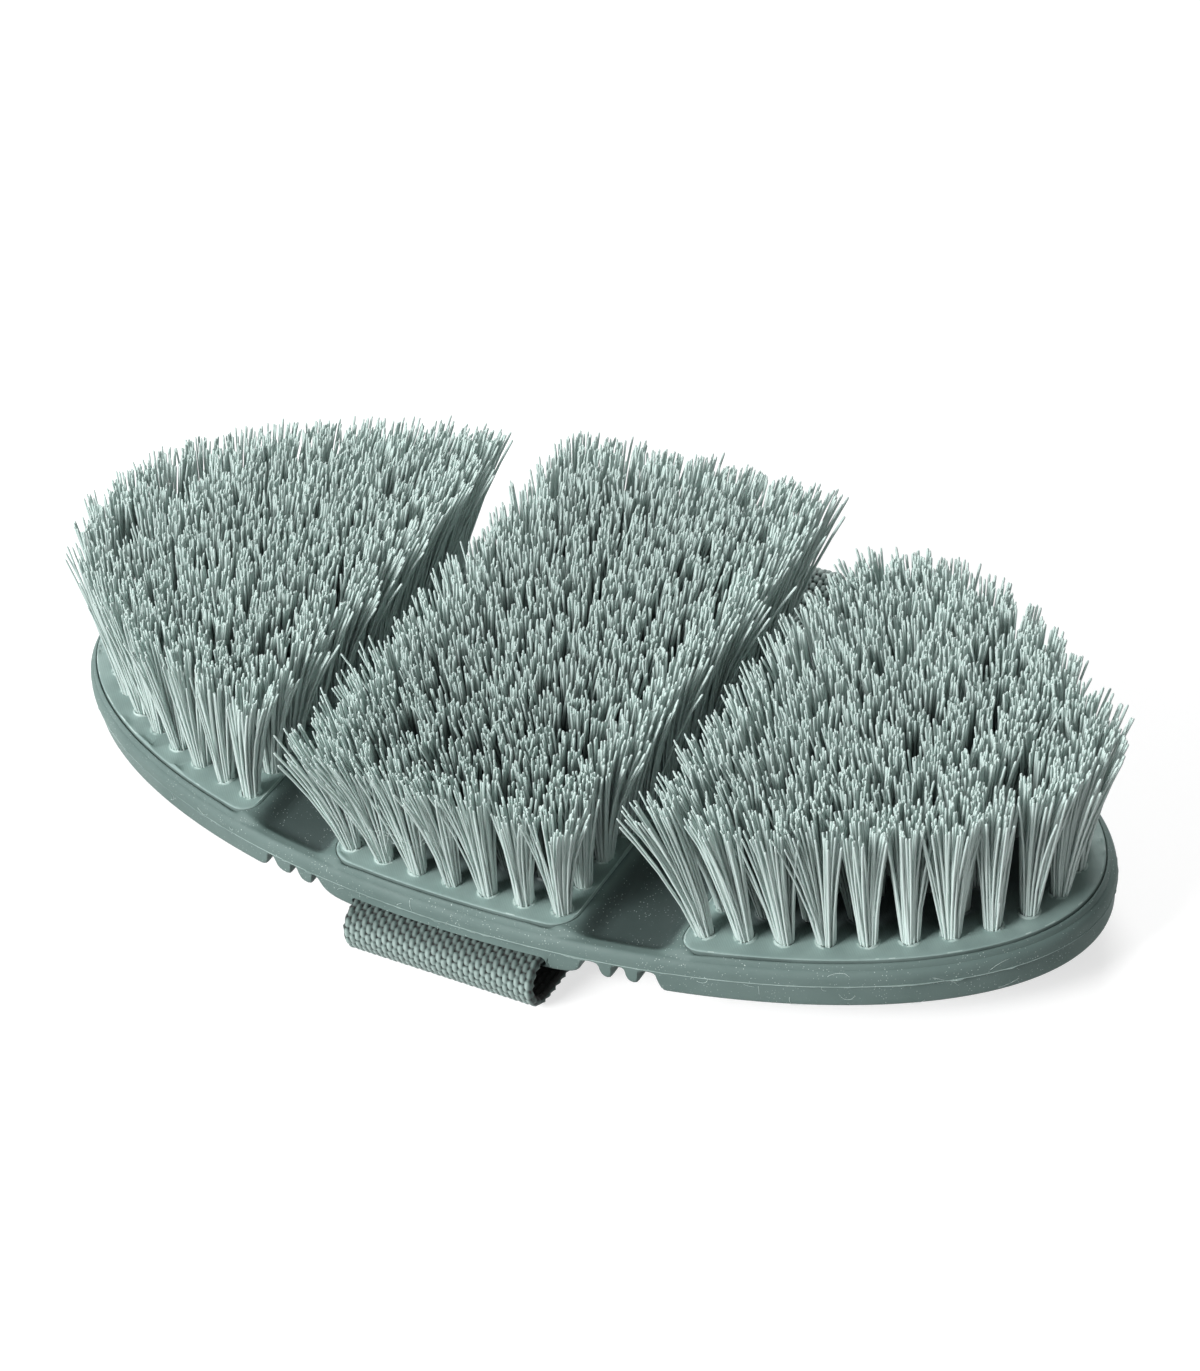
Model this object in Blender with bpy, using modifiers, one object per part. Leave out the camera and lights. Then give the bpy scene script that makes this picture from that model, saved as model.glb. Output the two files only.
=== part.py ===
"""Flexible horse body brush: a soft oval rubber body with three bristle blocks and a webbing hand strap.

The brush lies on its back, bristles up. +X runs along it, +Y across it to the far side, +Z up
through the bristles. The origin is under the middle of the oval, on the surface the strap lies on.
"""

import math
import random

import bmesh
import bpy
from mathutils import Matrix, Vector

# Driving sizes, in metres. Heights are measured from the parting line of the rubber moulding.
brush_length = 0.205
brush_width = 0.0927
gap = 0.0003
cut_overrun = 0.004

# Rubber body
back_depth = 0.0052
crown_height = 0.0027
valley_height = 0.0022
rim_width = 0.0022
shoulder_radius = 0.0016
lower_step = 0.00035
lower_radius = 0.0009
rubber_floor = 0.0038

# Bristle plates and the blocks under them
middle_half_length = 0.0244
channel_width = 0.0183
plate_inset = 0.0018
plate_top = 0.0045
plate_slice = 0.0010
plate_corner = 0.0045
plate_edge = 0.0008

# Flex zones between the blocks
channel_floor = 0.0014
channel_rim = 0.0028
channel_radius = 0.0009
groove_pitch_share = 0.252
groove_top = 0.0009
groove_top_radius = 0.0013
groove_mouth = 0.00135
lobe_short = 0.0008
band_wall = 0.00065
flex_axis_height = 0.0005

# Bristles
row_pitch = 0.0073
ring_pitch = 0.0067
middle_tuft_inset = 0.0058
wing_tuft_inset = 0.0066
tuft_side_margin = 0.0033
bristle_height = 0.0277
bristle_uneven = 0.0008
strand_offset = 0.00098
strand_radius = 0.00088
strand_tip_offset = 0.0019
strand_tip_radius = 0.0014
strand_turn_deg = 22
middle_spread_shares = (1.23, 1.24)
wing_spread_shares = (1.20, 1.22)
middle_tip_shift = 0.0010
wing_tip_shift = 0.0016
second_ring_share = 0.95
lone_tuft_share = 0.25

# Hand strap
strap_side_margin = 0.0054
strap_thickness = 0.0018
strap_drop = 0.0122
strap_exit_depth = 0.0031
strap_end_inset = 0.0218
strap_bend_in_inset = 0.0088
strap_bend_out_inset = 0.0038
near_fold_inset = 0.0010
far_exit_reach = 0.0008
far_rise_radius = 0.0120
far_rise_deg = 17
far_rise_run = 0.0092
far_top_radius = 0.0054
slot_side_room = 0.0020
slot_radius = 0.0011
strap_channel_room = 0.0015
slot_floor_inset = 0.0035

# Staples through the strap ends
staple_place_share = 0.25
staple_inset = 0.0153
staple_crown = 0.0110
staple_wire = 0.0008
staple_bite = 0.0028

# Counts
outline_segments = 80
wing_segments = 24
side_segments = 6
band_segments = 3
arc_segments = 8

# Heights and places that follow from the sizes above
half_length = brush_length / 2
half_width = brush_width / 2
wing_start = middle_half_length + channel_width
groove_pitch = channel_width * groove_pitch_share
parting_z = strap_drop
back_z = parting_z - back_depth
plate_z = parting_z + plate_top
slice_z = plate_z - plate_slice
block_top_z = slice_z - gap
pocket_floor_z = back_z + rubber_floor
block_bottom_z = pocket_floor_z + gap
strap_inner_z = block_bottom_z - gap - strap_thickness / 2
staple_crown_z = strap_inner_z - strap_thickness / 2 - gap - staple_wire / 2
strap_channel_z = staple_crown_z - staple_wire / 2 - gap
strap_exit_z = parting_z - strap_exit_depth
slot_top_z = strap_exit_z + strap_thickness / 2 + gap
strap_width = 2 * (middle_half_length - strap_side_margin)
slot_half_length = strap_width / 2 + slot_side_room
strap_bend_in = half_width - strap_bend_in_inset
strap_bend_out = half_width - strap_bend_out_inset
strap_end_reach = half_width - strap_end_inset
channel_inner_end = strap_end_reach - strap_channel_room
channel_outer_end = half_width - slot_floor_inset
flex_x = (middle_half_length + wing_start) / 2
band_half = 1.5 * groove_pitch + band_wall
flex_axis_z = parting_z + flex_axis_height

parts = bpy.data.collections.new("horse_body_brush")
cutters = bpy.data.collections.new("cutters")


def clear_scene():
    """Remove what the file holds and add the two collections."""
    for item in list(bpy.data.objects):
        bpy.data.objects.remove(item, do_unlink=True)
    bpy.context.scene.collection.children.link(parts)
    bpy.context.scene.collection.children.link(cutters)


def material(name, colour, roughness, metallic=0.0):
    """Make a plain Principled material."""
    made = bpy.data.materials.new(name)
    made.use_nodes = True
    shader = made.node_tree.nodes["Principled BSDF"]
    shader.inputs["Base Color"].default_value = (*colour, 1.0)
    shader.inputs["Roughness"].default_value = roughness
    shader.inputs["Metallic"].default_value = metallic
    return made


def add_object(name, mesh, collection):
    """Put a mesh in the scene as an object."""
    made = bpy.data.objects.new(name, mesh)
    collection.objects.link(made)
    if collection is cutters:
        made.hide_render = True
        made.display_type = "WIRE"
    return made


def mesh_from(bm, name):
    """Turn a bmesh into a mesh with its faces pointing out."""
    bmesh.ops.recalc_face_normals(bm, faces=bm.faces)
    mesh = bpy.data.meshes.new(name)
    bm.to_mesh(mesh)
    bm.free()
    return mesh


def cut(target, tool, operation="DIFFERENCE"):
    """Add an exact Boolean to an object."""
    step = target.modifiers.new(operation.lower(), "BOOLEAN")
    step.operation = operation
    step.solver = "EXACT"
    step.object = tool


def evaluated_mesh(item, name):
    """Take the mesh of an object as its modifiers leave it."""
    bpy.context.view_layer.update()
    shaped = item.evaluated_get(bpy.context.evaluated_depsgraph_get())
    mesh = bpy.data.meshes.new_from_object(shaped)
    mesh.name = name
    return mesh


def shade_smooth(mesh, angle_deg=35):
    """Shade the round faces smooth and keep the edges sharp."""
    mesh.shade_smooth()
    mesh.set_sharp_from_angle(angle=math.radians(angle_deg))


def bevel_edges(bm, edges, radius, segments):
    """Round the given edges of a bmesh."""
    bmesh.ops.bevel(bm, geom=edges, offset=radius, offset_type="OFFSET", segments=segments,
                    profile=0.5, affect="EDGES", clamp_overlap=True)


def level_edges(bm, z):
    """Find the outline edges that lie at one height."""
    near = 0.01 * gap
    return [edge for edge in bm.edges
            if all(abs(vert.co.z - z) < near for vert in edge.verts)]


def oval_y(x, inset):
    """Half width of the oval, drawn in by an inset, at a place along it."""
    share = min(1.0, abs(x) / (half_length - inset))
    return (half_width - inset) * math.sqrt(1.0 - share * share)


def oval_angle(x, inset):
    """Angle along the inset oval where it reaches x."""
    return math.acos(max(-1.0, min(1.0, x / (half_length - inset))))


def oval_point(angle, inset):
    """Point of the inset oval at an angle."""
    return ((half_length - inset) * math.cos(angle), (half_width - inset) * math.sin(angle))


def slab_outline(x_from, x_to, inset, segments):
    """Outline of the inset oval between two straight cuts across it."""
    first = oval_angle(x_to, inset)
    last = oval_angle(x_from, inset)
    far_side = [oval_point(first + (last - first) * step / segments, inset)
                for step in range(segments + 1)]
    near_side = [(x, -y) for x, y in reversed(far_side)]
    if x_to >= half_length - inset:
        near_side.pop()
    return far_side + near_side


def extruded(points, z_from, z_to):
    """Raise a flat outline into a bmesh block."""
    bm = bmesh.new()
    verts = [bm.verts.new((x, y, z_from)) for x, y in points]
    base = bm.faces.new(verts)
    raised = bmesh.ops.extrude_face_region(bm, geom=[base])
    tops = [item for item in raised["geom"] if isinstance(item, bmesh.types.BMVert)]
    bmesh.ops.translate(bm, verts=tops, vec=(0, 0, z_to - z_from))
    bmesh.ops.recalc_face_normals(bm, faces=bm.faces)
    return bm


def round_corners(bm, x_places, radius):
    """Round the upright edges of a slab where its straight cuts meet the oval."""
    near = 0.01 * gap
    corners = []
    for edge in bm.edges:
        first, second = edge.verts
        upright = (first.co.xy - second.co.xy).length < near
        if upright and any(abs(first.co.x - x) < near for x in x_places):
            corners.append(edge)
    bevel_edges(bm, corners, radius, 4)


def plate_slab(side, z_from, z_to, grow=0.0):
    """Block with the outline of one bristle plate; side is -1, 0 or 1."""
    if side == 0:
        edge = middle_half_length + grow
        bm = extruded(slab_outline(-edge, edge, plate_inset - grow, side_segments), z_from, z_to)
        round_corners(bm, (-edge, edge), plate_corner + grow)
        return bm
    edge = wing_start - grow
    bm = extruded(slab_outline(edge, half_length, plate_inset - grow, wing_segments // 2),
                  z_from, z_to)
    round_corners(bm, (edge,), plate_corner + grow)
    if side < 0:
        bmesh.ops.rotate(bm, verts=bm.verts, matrix=Matrix.Rotation(math.pi, 3, "Z"))
    return bm


def box_cutter(name, low, high, radius=0.0):
    """Box between two corners, with the edges along Y rounded where a radius is given."""
    bm = bmesh.new()
    bmesh.ops.create_cube(bm, size=1.0)
    size = [top - bottom for bottom, top in zip(low, high)]
    middle = [(top + bottom) / 2 for bottom, top in zip(low, high)]
    bmesh.ops.scale(bm, verts=bm.verts, vec=size)
    bmesh.ops.translate(bm, verts=bm.verts, vec=middle)
    if radius > 0.0:
        near = 0.01 * gap
        along = [edge for edge in bm.edges
                 if abs(edge.verts[0].co.x - edge.verts[1].co.x) < near
                 and abs(edge.verts[0].co.z - edge.verts[1].co.z) < near]
        bevel_edges(bm, along, radius, 3)
    return add_object(name, mesh_from(bm, name), cutters)


def oval_prism(inset, z_from, z_to):
    """Upright prism on the inset oval."""
    bm = bmesh.new()
    bmesh.ops.create_cone(bm, cap_ends=True, segments=outline_segments, radius1=1.0, radius2=1.0,
                          depth=z_to - z_from)
    bmesh.ops.scale(bm, verts=bm.verts, vec=(half_length - inset, half_width - inset, 1.0))
    bmesh.ops.translate(bm, verts=bm.verts, vec=(0, 0, (z_from + z_to) / 2))
    return bm


def rubber_blank():
    """The whole rubber oval before it is split: a wider upper half on a drafted lower half."""
    crown_z = parting_z + crown_height
    upper = oval_prism(0.0, parting_z, crown_z)
    bevel_edges(upper, level_edges(upper, crown_z), shoulder_radius, 3)
    lower = oval_prism(lower_step, back_z, parting_z + gap)
    bevel_edges(lower, level_edges(lower, back_z), lower_radius, 2)
    blank = add_object("rubber_blank", mesh_from(upper, "rubber_blank"), cutters)
    lower_half = add_object("lower_half", mesh_from(lower, "lower_half"), cutters)
    cut(blank, lower_half, "UNION")
    return evaluated_mesh(blank, "rubber_blank_whole")


def groove_profile():
    """Section of the three grooves under a flex zone, with the two round lobes between them."""
    lobe_radius = groove_pitch / 2 - groove_mouth
    lobe_z = back_z + lobe_short + lobe_radius
    top_z = parting_z - groove_top - groove_top_radius
    end = 1.5 * groove_pitch
    points = [(-end, back_z - cut_overrun), (-end, back_z + lobe_short)]
    for groove in (-1, 0, 1):
        middle = groove * groove_pitch
        for step in range(arc_segments // 2 + 1):
            angle = math.pi / 2 * step / (arc_segments // 2)
            x = middle - groove_pitch / 2 + lobe_radius * math.sin(angle)
            points.append((x, lobe_z - lobe_radius * math.cos(angle)))
        for step in range(arc_segments + 1):
            angle = math.pi - math.pi * step / arc_segments
            points.append((middle + groove_top_radius * math.cos(angle),
                           top_z + groove_top_radius * math.sin(angle)))
        for step in range(arc_segments // 2 + 1):
            angle = math.pi / 2 * (1 - step / (arc_segments // 2))
            x = middle + groove_pitch / 2 - lobe_radius * math.sin(angle)
            points.append((x, lobe_z - lobe_radius * math.cos(angle)))
    points.append((end, back_z - cut_overrun))
    kept = [points[0]]
    for point in points[1:]:
        if math.dist(point, kept[-1]) > 0.01 * gap:
            kept.append(point)
    return kept


def groove_cutter(side):
    """The grooves' section carried across the whole width of the brush."""
    reach = half_width + cut_overrun
    bm = extruded([(x, z) for x, z in groove_profile()], -reach, reach)
    bmesh.ops.transform(bm, verts=bm.verts, matrix=Matrix.Rotation(math.pi / 2, 4, "X"))
    bmesh.ops.translate(bm, verts=bm.verts, vec=(side * flex_x, 0, 0))
    name = f"grooves_{side_name(side)}"
    return add_object(name, mesh_from(bm, name), cutters)


def side_name(side):
    """Word for a side of the brush along X."""
    return {-1: "left", 0: "middle", 1: "right"}[side]


def channel_cutter(side):
    """Dished recess between two plates, inside the rim."""
    floor_z = parting_z + channel_floor
    high_z = parting_z + crown_height + cut_overrun
    low_x = middle_half_length - gap
    high_x = wing_start + gap
    bm = extruded(slab_outline(low_x, high_x, channel_rim, band_segments), floor_z, high_z)
    bevel_edges(bm, level_edges(bm, floor_z), channel_radius, 3)
    if side < 0:
        bmesh.ops.rotate(bm, verts=bm.verts, matrix=Matrix.Rotation(math.pi, 3, "Z"))
    name = f"channel_{side_name(side)}"
    return add_object(name, mesh_from(bm, name), cutters)


def plate_recess(side):
    """Pocket that seats one block in the rubber, open at the top."""
    bm = plate_slab(side, pocket_floor_z, parting_z + crown_height + cut_overrun, gap)
    name = f"pocket_{side_name(side)}"
    return add_object(name, mesh_from(bm, name), cutters)


def valley_cutter():
    """Lowers the rubber between the rim's crown and the plates."""
    bm = oval_prism(rim_width, parting_z + valley_height, parting_z + crown_height + cut_overrun)
    return add_object("valley", mesh_from(bm, "valley"), cutters)


def strap_way_cutters():
    """Slot through each long side of the rim, and the channel behind it under the block."""
    made = []
    for name, sign in (("near", -1), ("far", 1)):
        inner = sign * (channel_outer_end - gap)
        outer = sign * (half_width + cut_overrun)
        made.append(box_cutter(
            f"strap_slot_{name}", (-slot_half_length, min(inner, outer), strap_channel_z),
            (slot_half_length, max(inner, outer), slot_top_z), slot_radius))
        low_y, high_y = sorted((sign * channel_inner_end, sign * channel_outer_end))
        made.append(box_cutter(
            f"strap_channel_{name}", (-slot_half_length, low_y, strap_channel_z),
            (slot_half_length, high_y, pocket_floor_z + cut_overrun)))
    return made


def x_range_cutter(name, low_x, high_x):
    """Box that keeps one stretch of the rubber along X."""
    reach = half_width + cut_overrun
    return box_cutter(name, (low_x, -reach, back_z - cut_overrun),
                      (high_x, reach, parting_z + crown_height + cut_overrun))


def rubber_pieces(rubber):
    """The rubber moulding in five stretches: three bodies and two flex bands."""
    blank = rubber_blank()
    valley = valley_cutter()
    grooves = {side: groove_cutter(side) for side in (-1, 1)}
    channels = {side: channel_cutter(side) for side in (-1, 1)}
    made = {}
    band_in = flex_x - band_half
    band_out = flex_x + band_half
    end = half_length + cut_overrun

    def stretch(name, low_x, high_x, tools):
        item = add_object(name, blank.copy(), parts)
        item.data.materials.append(rubber)
        cut(item, x_range_cutter(f"keep_{name}", low_x, high_x), "INTERSECT")
        for tool in tools:
            cut(item, tool)
        made[name] = item

    stretch("rubber_middle", -(band_in - gap), band_in - gap,
            [valley, channels[-1], channels[1], plate_recess(0), *strap_way_cutters()])
    for side in (-1, 1):
        word = side_name(side)
        low, high = sorted((side * band_in, side * band_out))
        stretch(f"flex_band_{word}", low, high, [channels[side], grooves[side]])
        low, high = sorted((side * (band_out + gap), side * end))
        stretch(f"rubber_{word}", low, high, [valley, channels[side], plate_recess(side)])
    return made


def staple_places():
    """Name and place of each staple: two through each end of the strap."""
    place_x = strap_width * staple_place_share
    place_y = half_width - staple_inset
    return [(f"staple_{depth}_{width}", sign_x * place_x, sign_y * place_y)
            for depth, sign_y in (("near", -1), ("far", 1))
            for width, sign_x in (("left", -1), ("right", 1))]


def staple_path():
    """Wire of one staple: a crown under the strap and two legs up into the block."""
    half = staple_crown / 2
    tip = block_bottom_z + staple_bite - staple_crown_z
    return [(-half, 0, tip), (-half, 0, 0), (half, 0, 0), (half, 0, tip)]


def wire_mesh(name, points, radius):
    """Mesh of a round wire along a path, with welded caps."""
    curve = bpy.data.curves.new(name, "CURVE")
    curve.dimensions = "3D"
    curve.bevel_depth = radius
    curve.bevel_resolution = 1
    curve.use_fill_caps = True
    line = curve.splines.new("POLY")
    line.points.add(len(points) - 1)
    for point, place in zip(line.points, points):
        point.co = (*place, 1.0)
    wire = add_object(name, curve, cutters)
    mesh = evaluated_mesh(wire, name)
    bm = bmesh.new()
    bm.from_mesh(mesh)
    bmesh.ops.remove_doubles(bm, verts=bm.verts, dist=0.01 * radius)
    bpy.data.objects.remove(wire, do_unlink=True)
    return mesh_from(bm, name)


def leg_holes():
    """Round holes for all the staple legs, through the strap ends and into the middle block."""
    bm = bmesh.new()
    low_z = staple_crown_z
    high_z = block_bottom_z + staple_bite + gap
    for _, x, y in staple_places():
        for sign in (-1, 1):
            middle = Vector((x + sign * staple_crown / 2, y, (low_z + high_z) / 2))
            bmesh.ops.create_cone(bm, cap_ends=True, segments=8, radius1=staple_wire / 2 + gap,
                                  radius2=staple_wire / 2 + gap, depth=high_z - low_z,
                                  matrix=Matrix.Translation(middle))
    return add_object("leg_holes", mesh_from(bm, "leg_holes"), cutters)


def blocks_and_staples(plastic, steel, holes):
    """The hard block under each plate, and the staples driven into the middle one."""
    made = {}
    for side in (-1, 0, 1):
        name = f"block_{side_name(side)}"
        bm = plate_slab(side, block_bottom_z, block_top_z)
        item = add_object(name, mesh_from(bm, name), parts)
        item.data.materials.append(plastic)
        if side == 0:
            cut(item, holes)
        made[name] = item
    wire = wire_mesh("staple", staple_path(), staple_wire / 2)
    shade_smooth(wire)
    wire.materials.append(steel)
    for name, x, y in staple_places():
        item = add_object(name, wire, parts)
        item.location = (x, y, staple_crown_z)
        made[name] = item
    return made


def spaced(low, high, pitch):
    """Places from low to high, evenly spaced by about the pitch."""
    steps = max(1, round((high - low) / pitch))
    return [low + (high - low) * step / steps for step in range(steps + 1)]


def middle_tufts():
    """Feet of the tufts on the middle plate: straight columns whose rows follow the oval."""
    reach = middle_half_length - tuft_side_margin
    row_shares = spaced(-1.0, 1.0, row_pitch / oval_y(0.0, middle_tuft_inset))
    return [(x, share * oval_y(x, middle_tuft_inset))
            for x in spaced(-reach, reach, row_pitch) for share in row_shares]


def wing_tufts():
    """Feet of the tufts on the right plate: one row round the oval edge, columns inside it."""
    first_x = wing_start + tuft_side_margin
    start = oval_angle(first_x, wing_tuft_inset)
    fine = 40 * wing_segments
    edge = [oval_point(start - 2 * start * step / fine, wing_tuft_inset) for step in range(fine + 1)]
    lengths = [0.0]
    for before, after in zip(edge, edge[1:]):
        lengths.append(lengths[-1] + math.dist(before, after))
    feet = []
    index = 0
    for place in spaced(0.0, lengths[-1], ring_pitch):
        while index < fine and lengths[index] < place:
            index += 1
        feet.append(edge[index])
    column_y = oval_y(first_x, wing_tuft_inset)
    feet += [(first_x, y) for y in spaced(-column_y, column_y, ring_pitch)[1:-1]]
    inner = wing_tuft_inset + second_ring_share * ring_pitch
    last_x = half_length - inner
    for x in spaced(first_x, last_x, ring_pitch)[1:]:
        reach = oval_y(x, inner)
        if reach < lone_tuft_share * ring_pitch:
            feet.append((x, 0.0))
        else:
            feet += [(x, y) for y in spaced(-reach, reach, ring_pitch)]
    return feet


def strand_places(side):
    """Foot and tip of every strand on one plate: two strands stand for each tuft."""
    uneven = random.Random(11 + side)
    feet = middle_tufts() if side == 0 else wing_tufts()
    spread = middle_spread_shares if side == 0 else wing_spread_shares
    centre = 0.0 if side == 0 else (wing_start + half_length - plate_inset) / 2
    mirror = -1 if side < 0 else 1
    shift = middle_tip_shift if side == 0 else mirror * wing_tip_shift
    strands = []
    for number, (x, y) in enumerate(feet):
        turn = math.radians(strand_turn_deg) * (-1 if number % 2 else 1)
        aim = Vector((math.cos(turn), math.sin(turn)))
        tip = Vector((centre + (x - centre) * spread[0] + shift, y * spread[1]))
        for sign in (-1, 1):
            low = Vector((x, y)) + sign * strand_offset * aim
            high = tip + sign * strand_tip_offset * aim
            sag = (high - low).length_squared / (2 * bristle_height)
            top_z = plate_z + bristle_height - sag - bristle_uneven * uneven.random()
            strands.append((Vector((mirror * low.x, mirror * low.y, plate_z)),
                            Vector((mirror * high.x, mirror * high.y, top_z))))
    return strands


def strand_mesh(side, name):
    """All the strands of one plate, rooted half way down its slice."""
    bm = bmesh.new()
    for foot, tip in strand_places(side):
        along = tip - foot
        root = foot - along * (0.5 * plate_slice / along.z)
        lean = along.to_track_quat("Z", "Y").to_matrix().to_4x4()
        bmesh.ops.create_cone(bm, cap_ends=True, segments=3, radius1=strand_radius,
                              radius2=strand_tip_radius, depth=(tip - root).length,
                              matrix=Matrix.Translation((tip + root) / 2) @ lean)
    return mesh_from(bm, name)


def bristle_fields(filament):
    """The top slice of each plate with its bristles standing on it."""
    made = {}
    for side in (-1, 0, 1):
        name = f"bristles_{side_name(side)}"
        bm = plate_slab(side, slice_z, plate_z)
        bevel_edges(bm, level_edges(bm, plate_z), plate_edge, 2)
        item = add_object(name, mesh_from(bm, name), parts)
        item.data.materials.append(filament)
        strand_name = f"strands_{side_name(side)}"
        cut(item, add_object(strand_name, strand_mesh(side, strand_name), cutters), "UNION")
        made[name] = item
        print(name, "strands", len(strand_places(side)))
    return made


def arc(centre, radius, start_deg, end_deg, segments):
    """Points along an arc, its end included and its start left out."""
    points = []
    for step in range(1, segments + 1):
        angle = math.radians(start_deg + (end_deg - start_deg) * step / segments)
        points.append((centre[0] + radius * math.cos(angle), centre[1] + radius * math.sin(angle)))
    return points


def strap_path():
    """Centre line of the webbing in the Y-Z plane, from its far end to its near end."""
    floor_z = strap_thickness / 2
    far_exit = half_width + far_exit_reach
    path = [(strap_end_reach, strap_inner_z), (strap_bend_in, strap_inner_z),
            (strap_bend_out, strap_exit_z), (far_exit, strap_exit_z)]
    path += arc((far_exit, strap_exit_z + far_rise_radius), far_rise_radius,
                -90, far_rise_deg - 90, arc_segments // 2)
    rise = math.radians(far_rise_deg)
    top = Vector(path[-1]) + far_rise_run * Vector((math.cos(rise), math.sin(rise)))
    path.append(tuple(top))
    top_y, top_z = top + far_top_radius * Vector((math.sin(rise), -math.cos(rise)))
    path += arc((top_y, top_z), far_top_radius, far_rise_deg + 90, 0, arc_segments + 2)
    floor_radius = top_z - floor_z
    turn_y = top_y + far_top_radius - floor_radius
    path += arc((turn_y, top_z), floor_radius, 0, -90, arc_segments)
    fold_y = near_fold_inset - half_width
    fold_radius = (strap_exit_z - floor_z) / 2
    path.append((fold_y, floor_z))
    path += arc((fold_y, floor_z + fold_radius), fold_radius, -90, -270, arc_segments + 4)
    path += [(-strap_bend_out, strap_exit_z), (-strap_bend_in, strap_inner_z),
             (-strap_end_reach, strap_inner_z)]
    return path


def hand_strap(webbing, holes):
    """The webbing loop: a ribbon along the path, thickened, with holes for the staples."""
    curve = bpy.data.curves.new("strap_line", "CURVE")
    curve.dimensions = "2D"
    curve.fill_mode = "NONE"
    curve.extrude = strap_width / 2
    line = curve.splines.new("POLY")
    path = strap_path()
    line.points.add(len(path) - 1)
    for point, (y, z) in zip(line.points, path):
        point.co = (y, z, 0.0, 1.0)
    guide = add_object("strap_line", curve, cutters)
    ribbon = evaluated_mesh(guide, "hand_strap")
    bpy.data.objects.remove(guide, do_unlink=True)
    turn = Matrix(((0, 0, 1, 0), (1, 0, 0, 0), (0, 1, 0, 0), (0, 0, 0, 1)))
    ribbon.transform(turn)
    item = add_object("hand_strap", ribbon, parts)
    item.data.materials.append(webbing)
    thick = item.modifiers.new("webbing_thickness", "SOLIDIFY")
    thick.thickness = strap_thickness
    thick.offset = 0.0
    thick.use_even_offset = True
    cut(item, holes)
    return item


def add_axis(name, side):
    """Empty on the bending line of one flex zone."""
    axis = bpy.data.objects.new(name, None)
    axis.location = (side * flex_x, 0, flex_axis_z)
    axis.empty_display_size = groove_pitch
    parts.objects.link(axis)
    return axis


def hang_on(axis, item):
    """Parent a piece to its axis and leave it where it is."""
    item.parent = axis
    item.matrix_parent_inverse = axis.matrix_world.inverted()


def build():
    """Make every piece of the brush."""
    clear_scene()
    rubber = material("sage_rubber", (0.20, 0.29, 0.27), 0.55)
    plastic = material("block_plastic", (0.22, 0.31, 0.29), 0.45)
    filament = material("bristle_filament", (0.46, 0.57, 0.54), 0.40)
    webbing = material("strap_webbing", (0.15, 0.22, 0.20), 0.85)
    steel = material("staple_steel", (0.60, 0.60, 0.58), 0.35, 1.0)
    holes = leg_holes()
    pieces = rubber_pieces(rubber)
    pieces.update(blocks_and_staples(plastic, steel, holes))
    pieces.update(bristle_fields(filament))
    pieces["hand_strap"] = hand_strap(webbing, holes)
    for name in ("rubber", "flex_band"):
        for side in ("left", "middle", "right"):
            item = pieces.get(f"{name}_{side}")
            if item:
                shade_smooth(item.data)
    for side in (-1, 1):
        word = side_name(side)
        axis = add_axis(f"{word}_flex_axis", side)
        bpy.context.view_layer.update()
        for name in ("rubber", "block", "bristles"):
            hang_on(axis, pieces[f"{name}_{word}"])
    bpy.context.view_layer.update()


build()
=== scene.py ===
# Looks of the flexible horse body brush, built around its CAD frame.
# Sizes here are in millimetres. x and y start at the middle of the oval and heights at the
# parting line of the rubber, and place() turns all three into Blender's metres.

import math

import bmesh
import bpy
import numpy as np
from mathutils import Matrix, Vector, noise
from mathutils.geometry import delaunay_2d_cdt


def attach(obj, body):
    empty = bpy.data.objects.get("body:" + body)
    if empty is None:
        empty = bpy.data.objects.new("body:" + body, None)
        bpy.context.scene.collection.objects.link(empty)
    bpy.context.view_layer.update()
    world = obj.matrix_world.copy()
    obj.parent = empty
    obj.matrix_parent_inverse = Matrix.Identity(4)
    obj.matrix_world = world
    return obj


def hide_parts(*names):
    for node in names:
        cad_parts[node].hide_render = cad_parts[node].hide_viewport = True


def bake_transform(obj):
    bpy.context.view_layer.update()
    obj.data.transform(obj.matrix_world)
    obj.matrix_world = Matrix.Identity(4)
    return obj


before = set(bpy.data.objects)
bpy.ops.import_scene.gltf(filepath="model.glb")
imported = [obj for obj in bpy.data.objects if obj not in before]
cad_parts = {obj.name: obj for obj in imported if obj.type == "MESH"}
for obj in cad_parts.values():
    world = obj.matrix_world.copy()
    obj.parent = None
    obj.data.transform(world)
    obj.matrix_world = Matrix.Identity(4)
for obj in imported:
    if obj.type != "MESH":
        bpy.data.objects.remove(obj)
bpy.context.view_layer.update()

mm = 0.001
partingHeight = 12.2    # parting line above the surface that the strap rests on

body = {
    "halfLength": 102.5,
    "halfWidth": 46.35,
    "middleHalf": 24.4,      # where the middle plate ends along x
    "wingStart": 42.7,       # where the wing plates begin
    "plateInset": 1.8,
    "plateCorner": 4.5,
}


def place(points):
    lifted = np.array(points, dtype=float)
    lifted[:, 2] += partingHeight
    return lifted * mm


def smoothStep(low, high, value):
    share = np.clip((value - low) / (high - low), 0.0, 1.0)
    return share * share * (3.0 - 2.0 * share)


def ovalHalf(x, inset):
    share = np.clip(np.abs(x) / (body["halfLength"] - inset), 0.0, 1.0)
    return (body["halfWidth"] - inset) * np.sqrt(1.0 - share * share)


outsideReach = 12.0     # furthest that a point may lie outside the oval
halvings = 26


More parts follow.
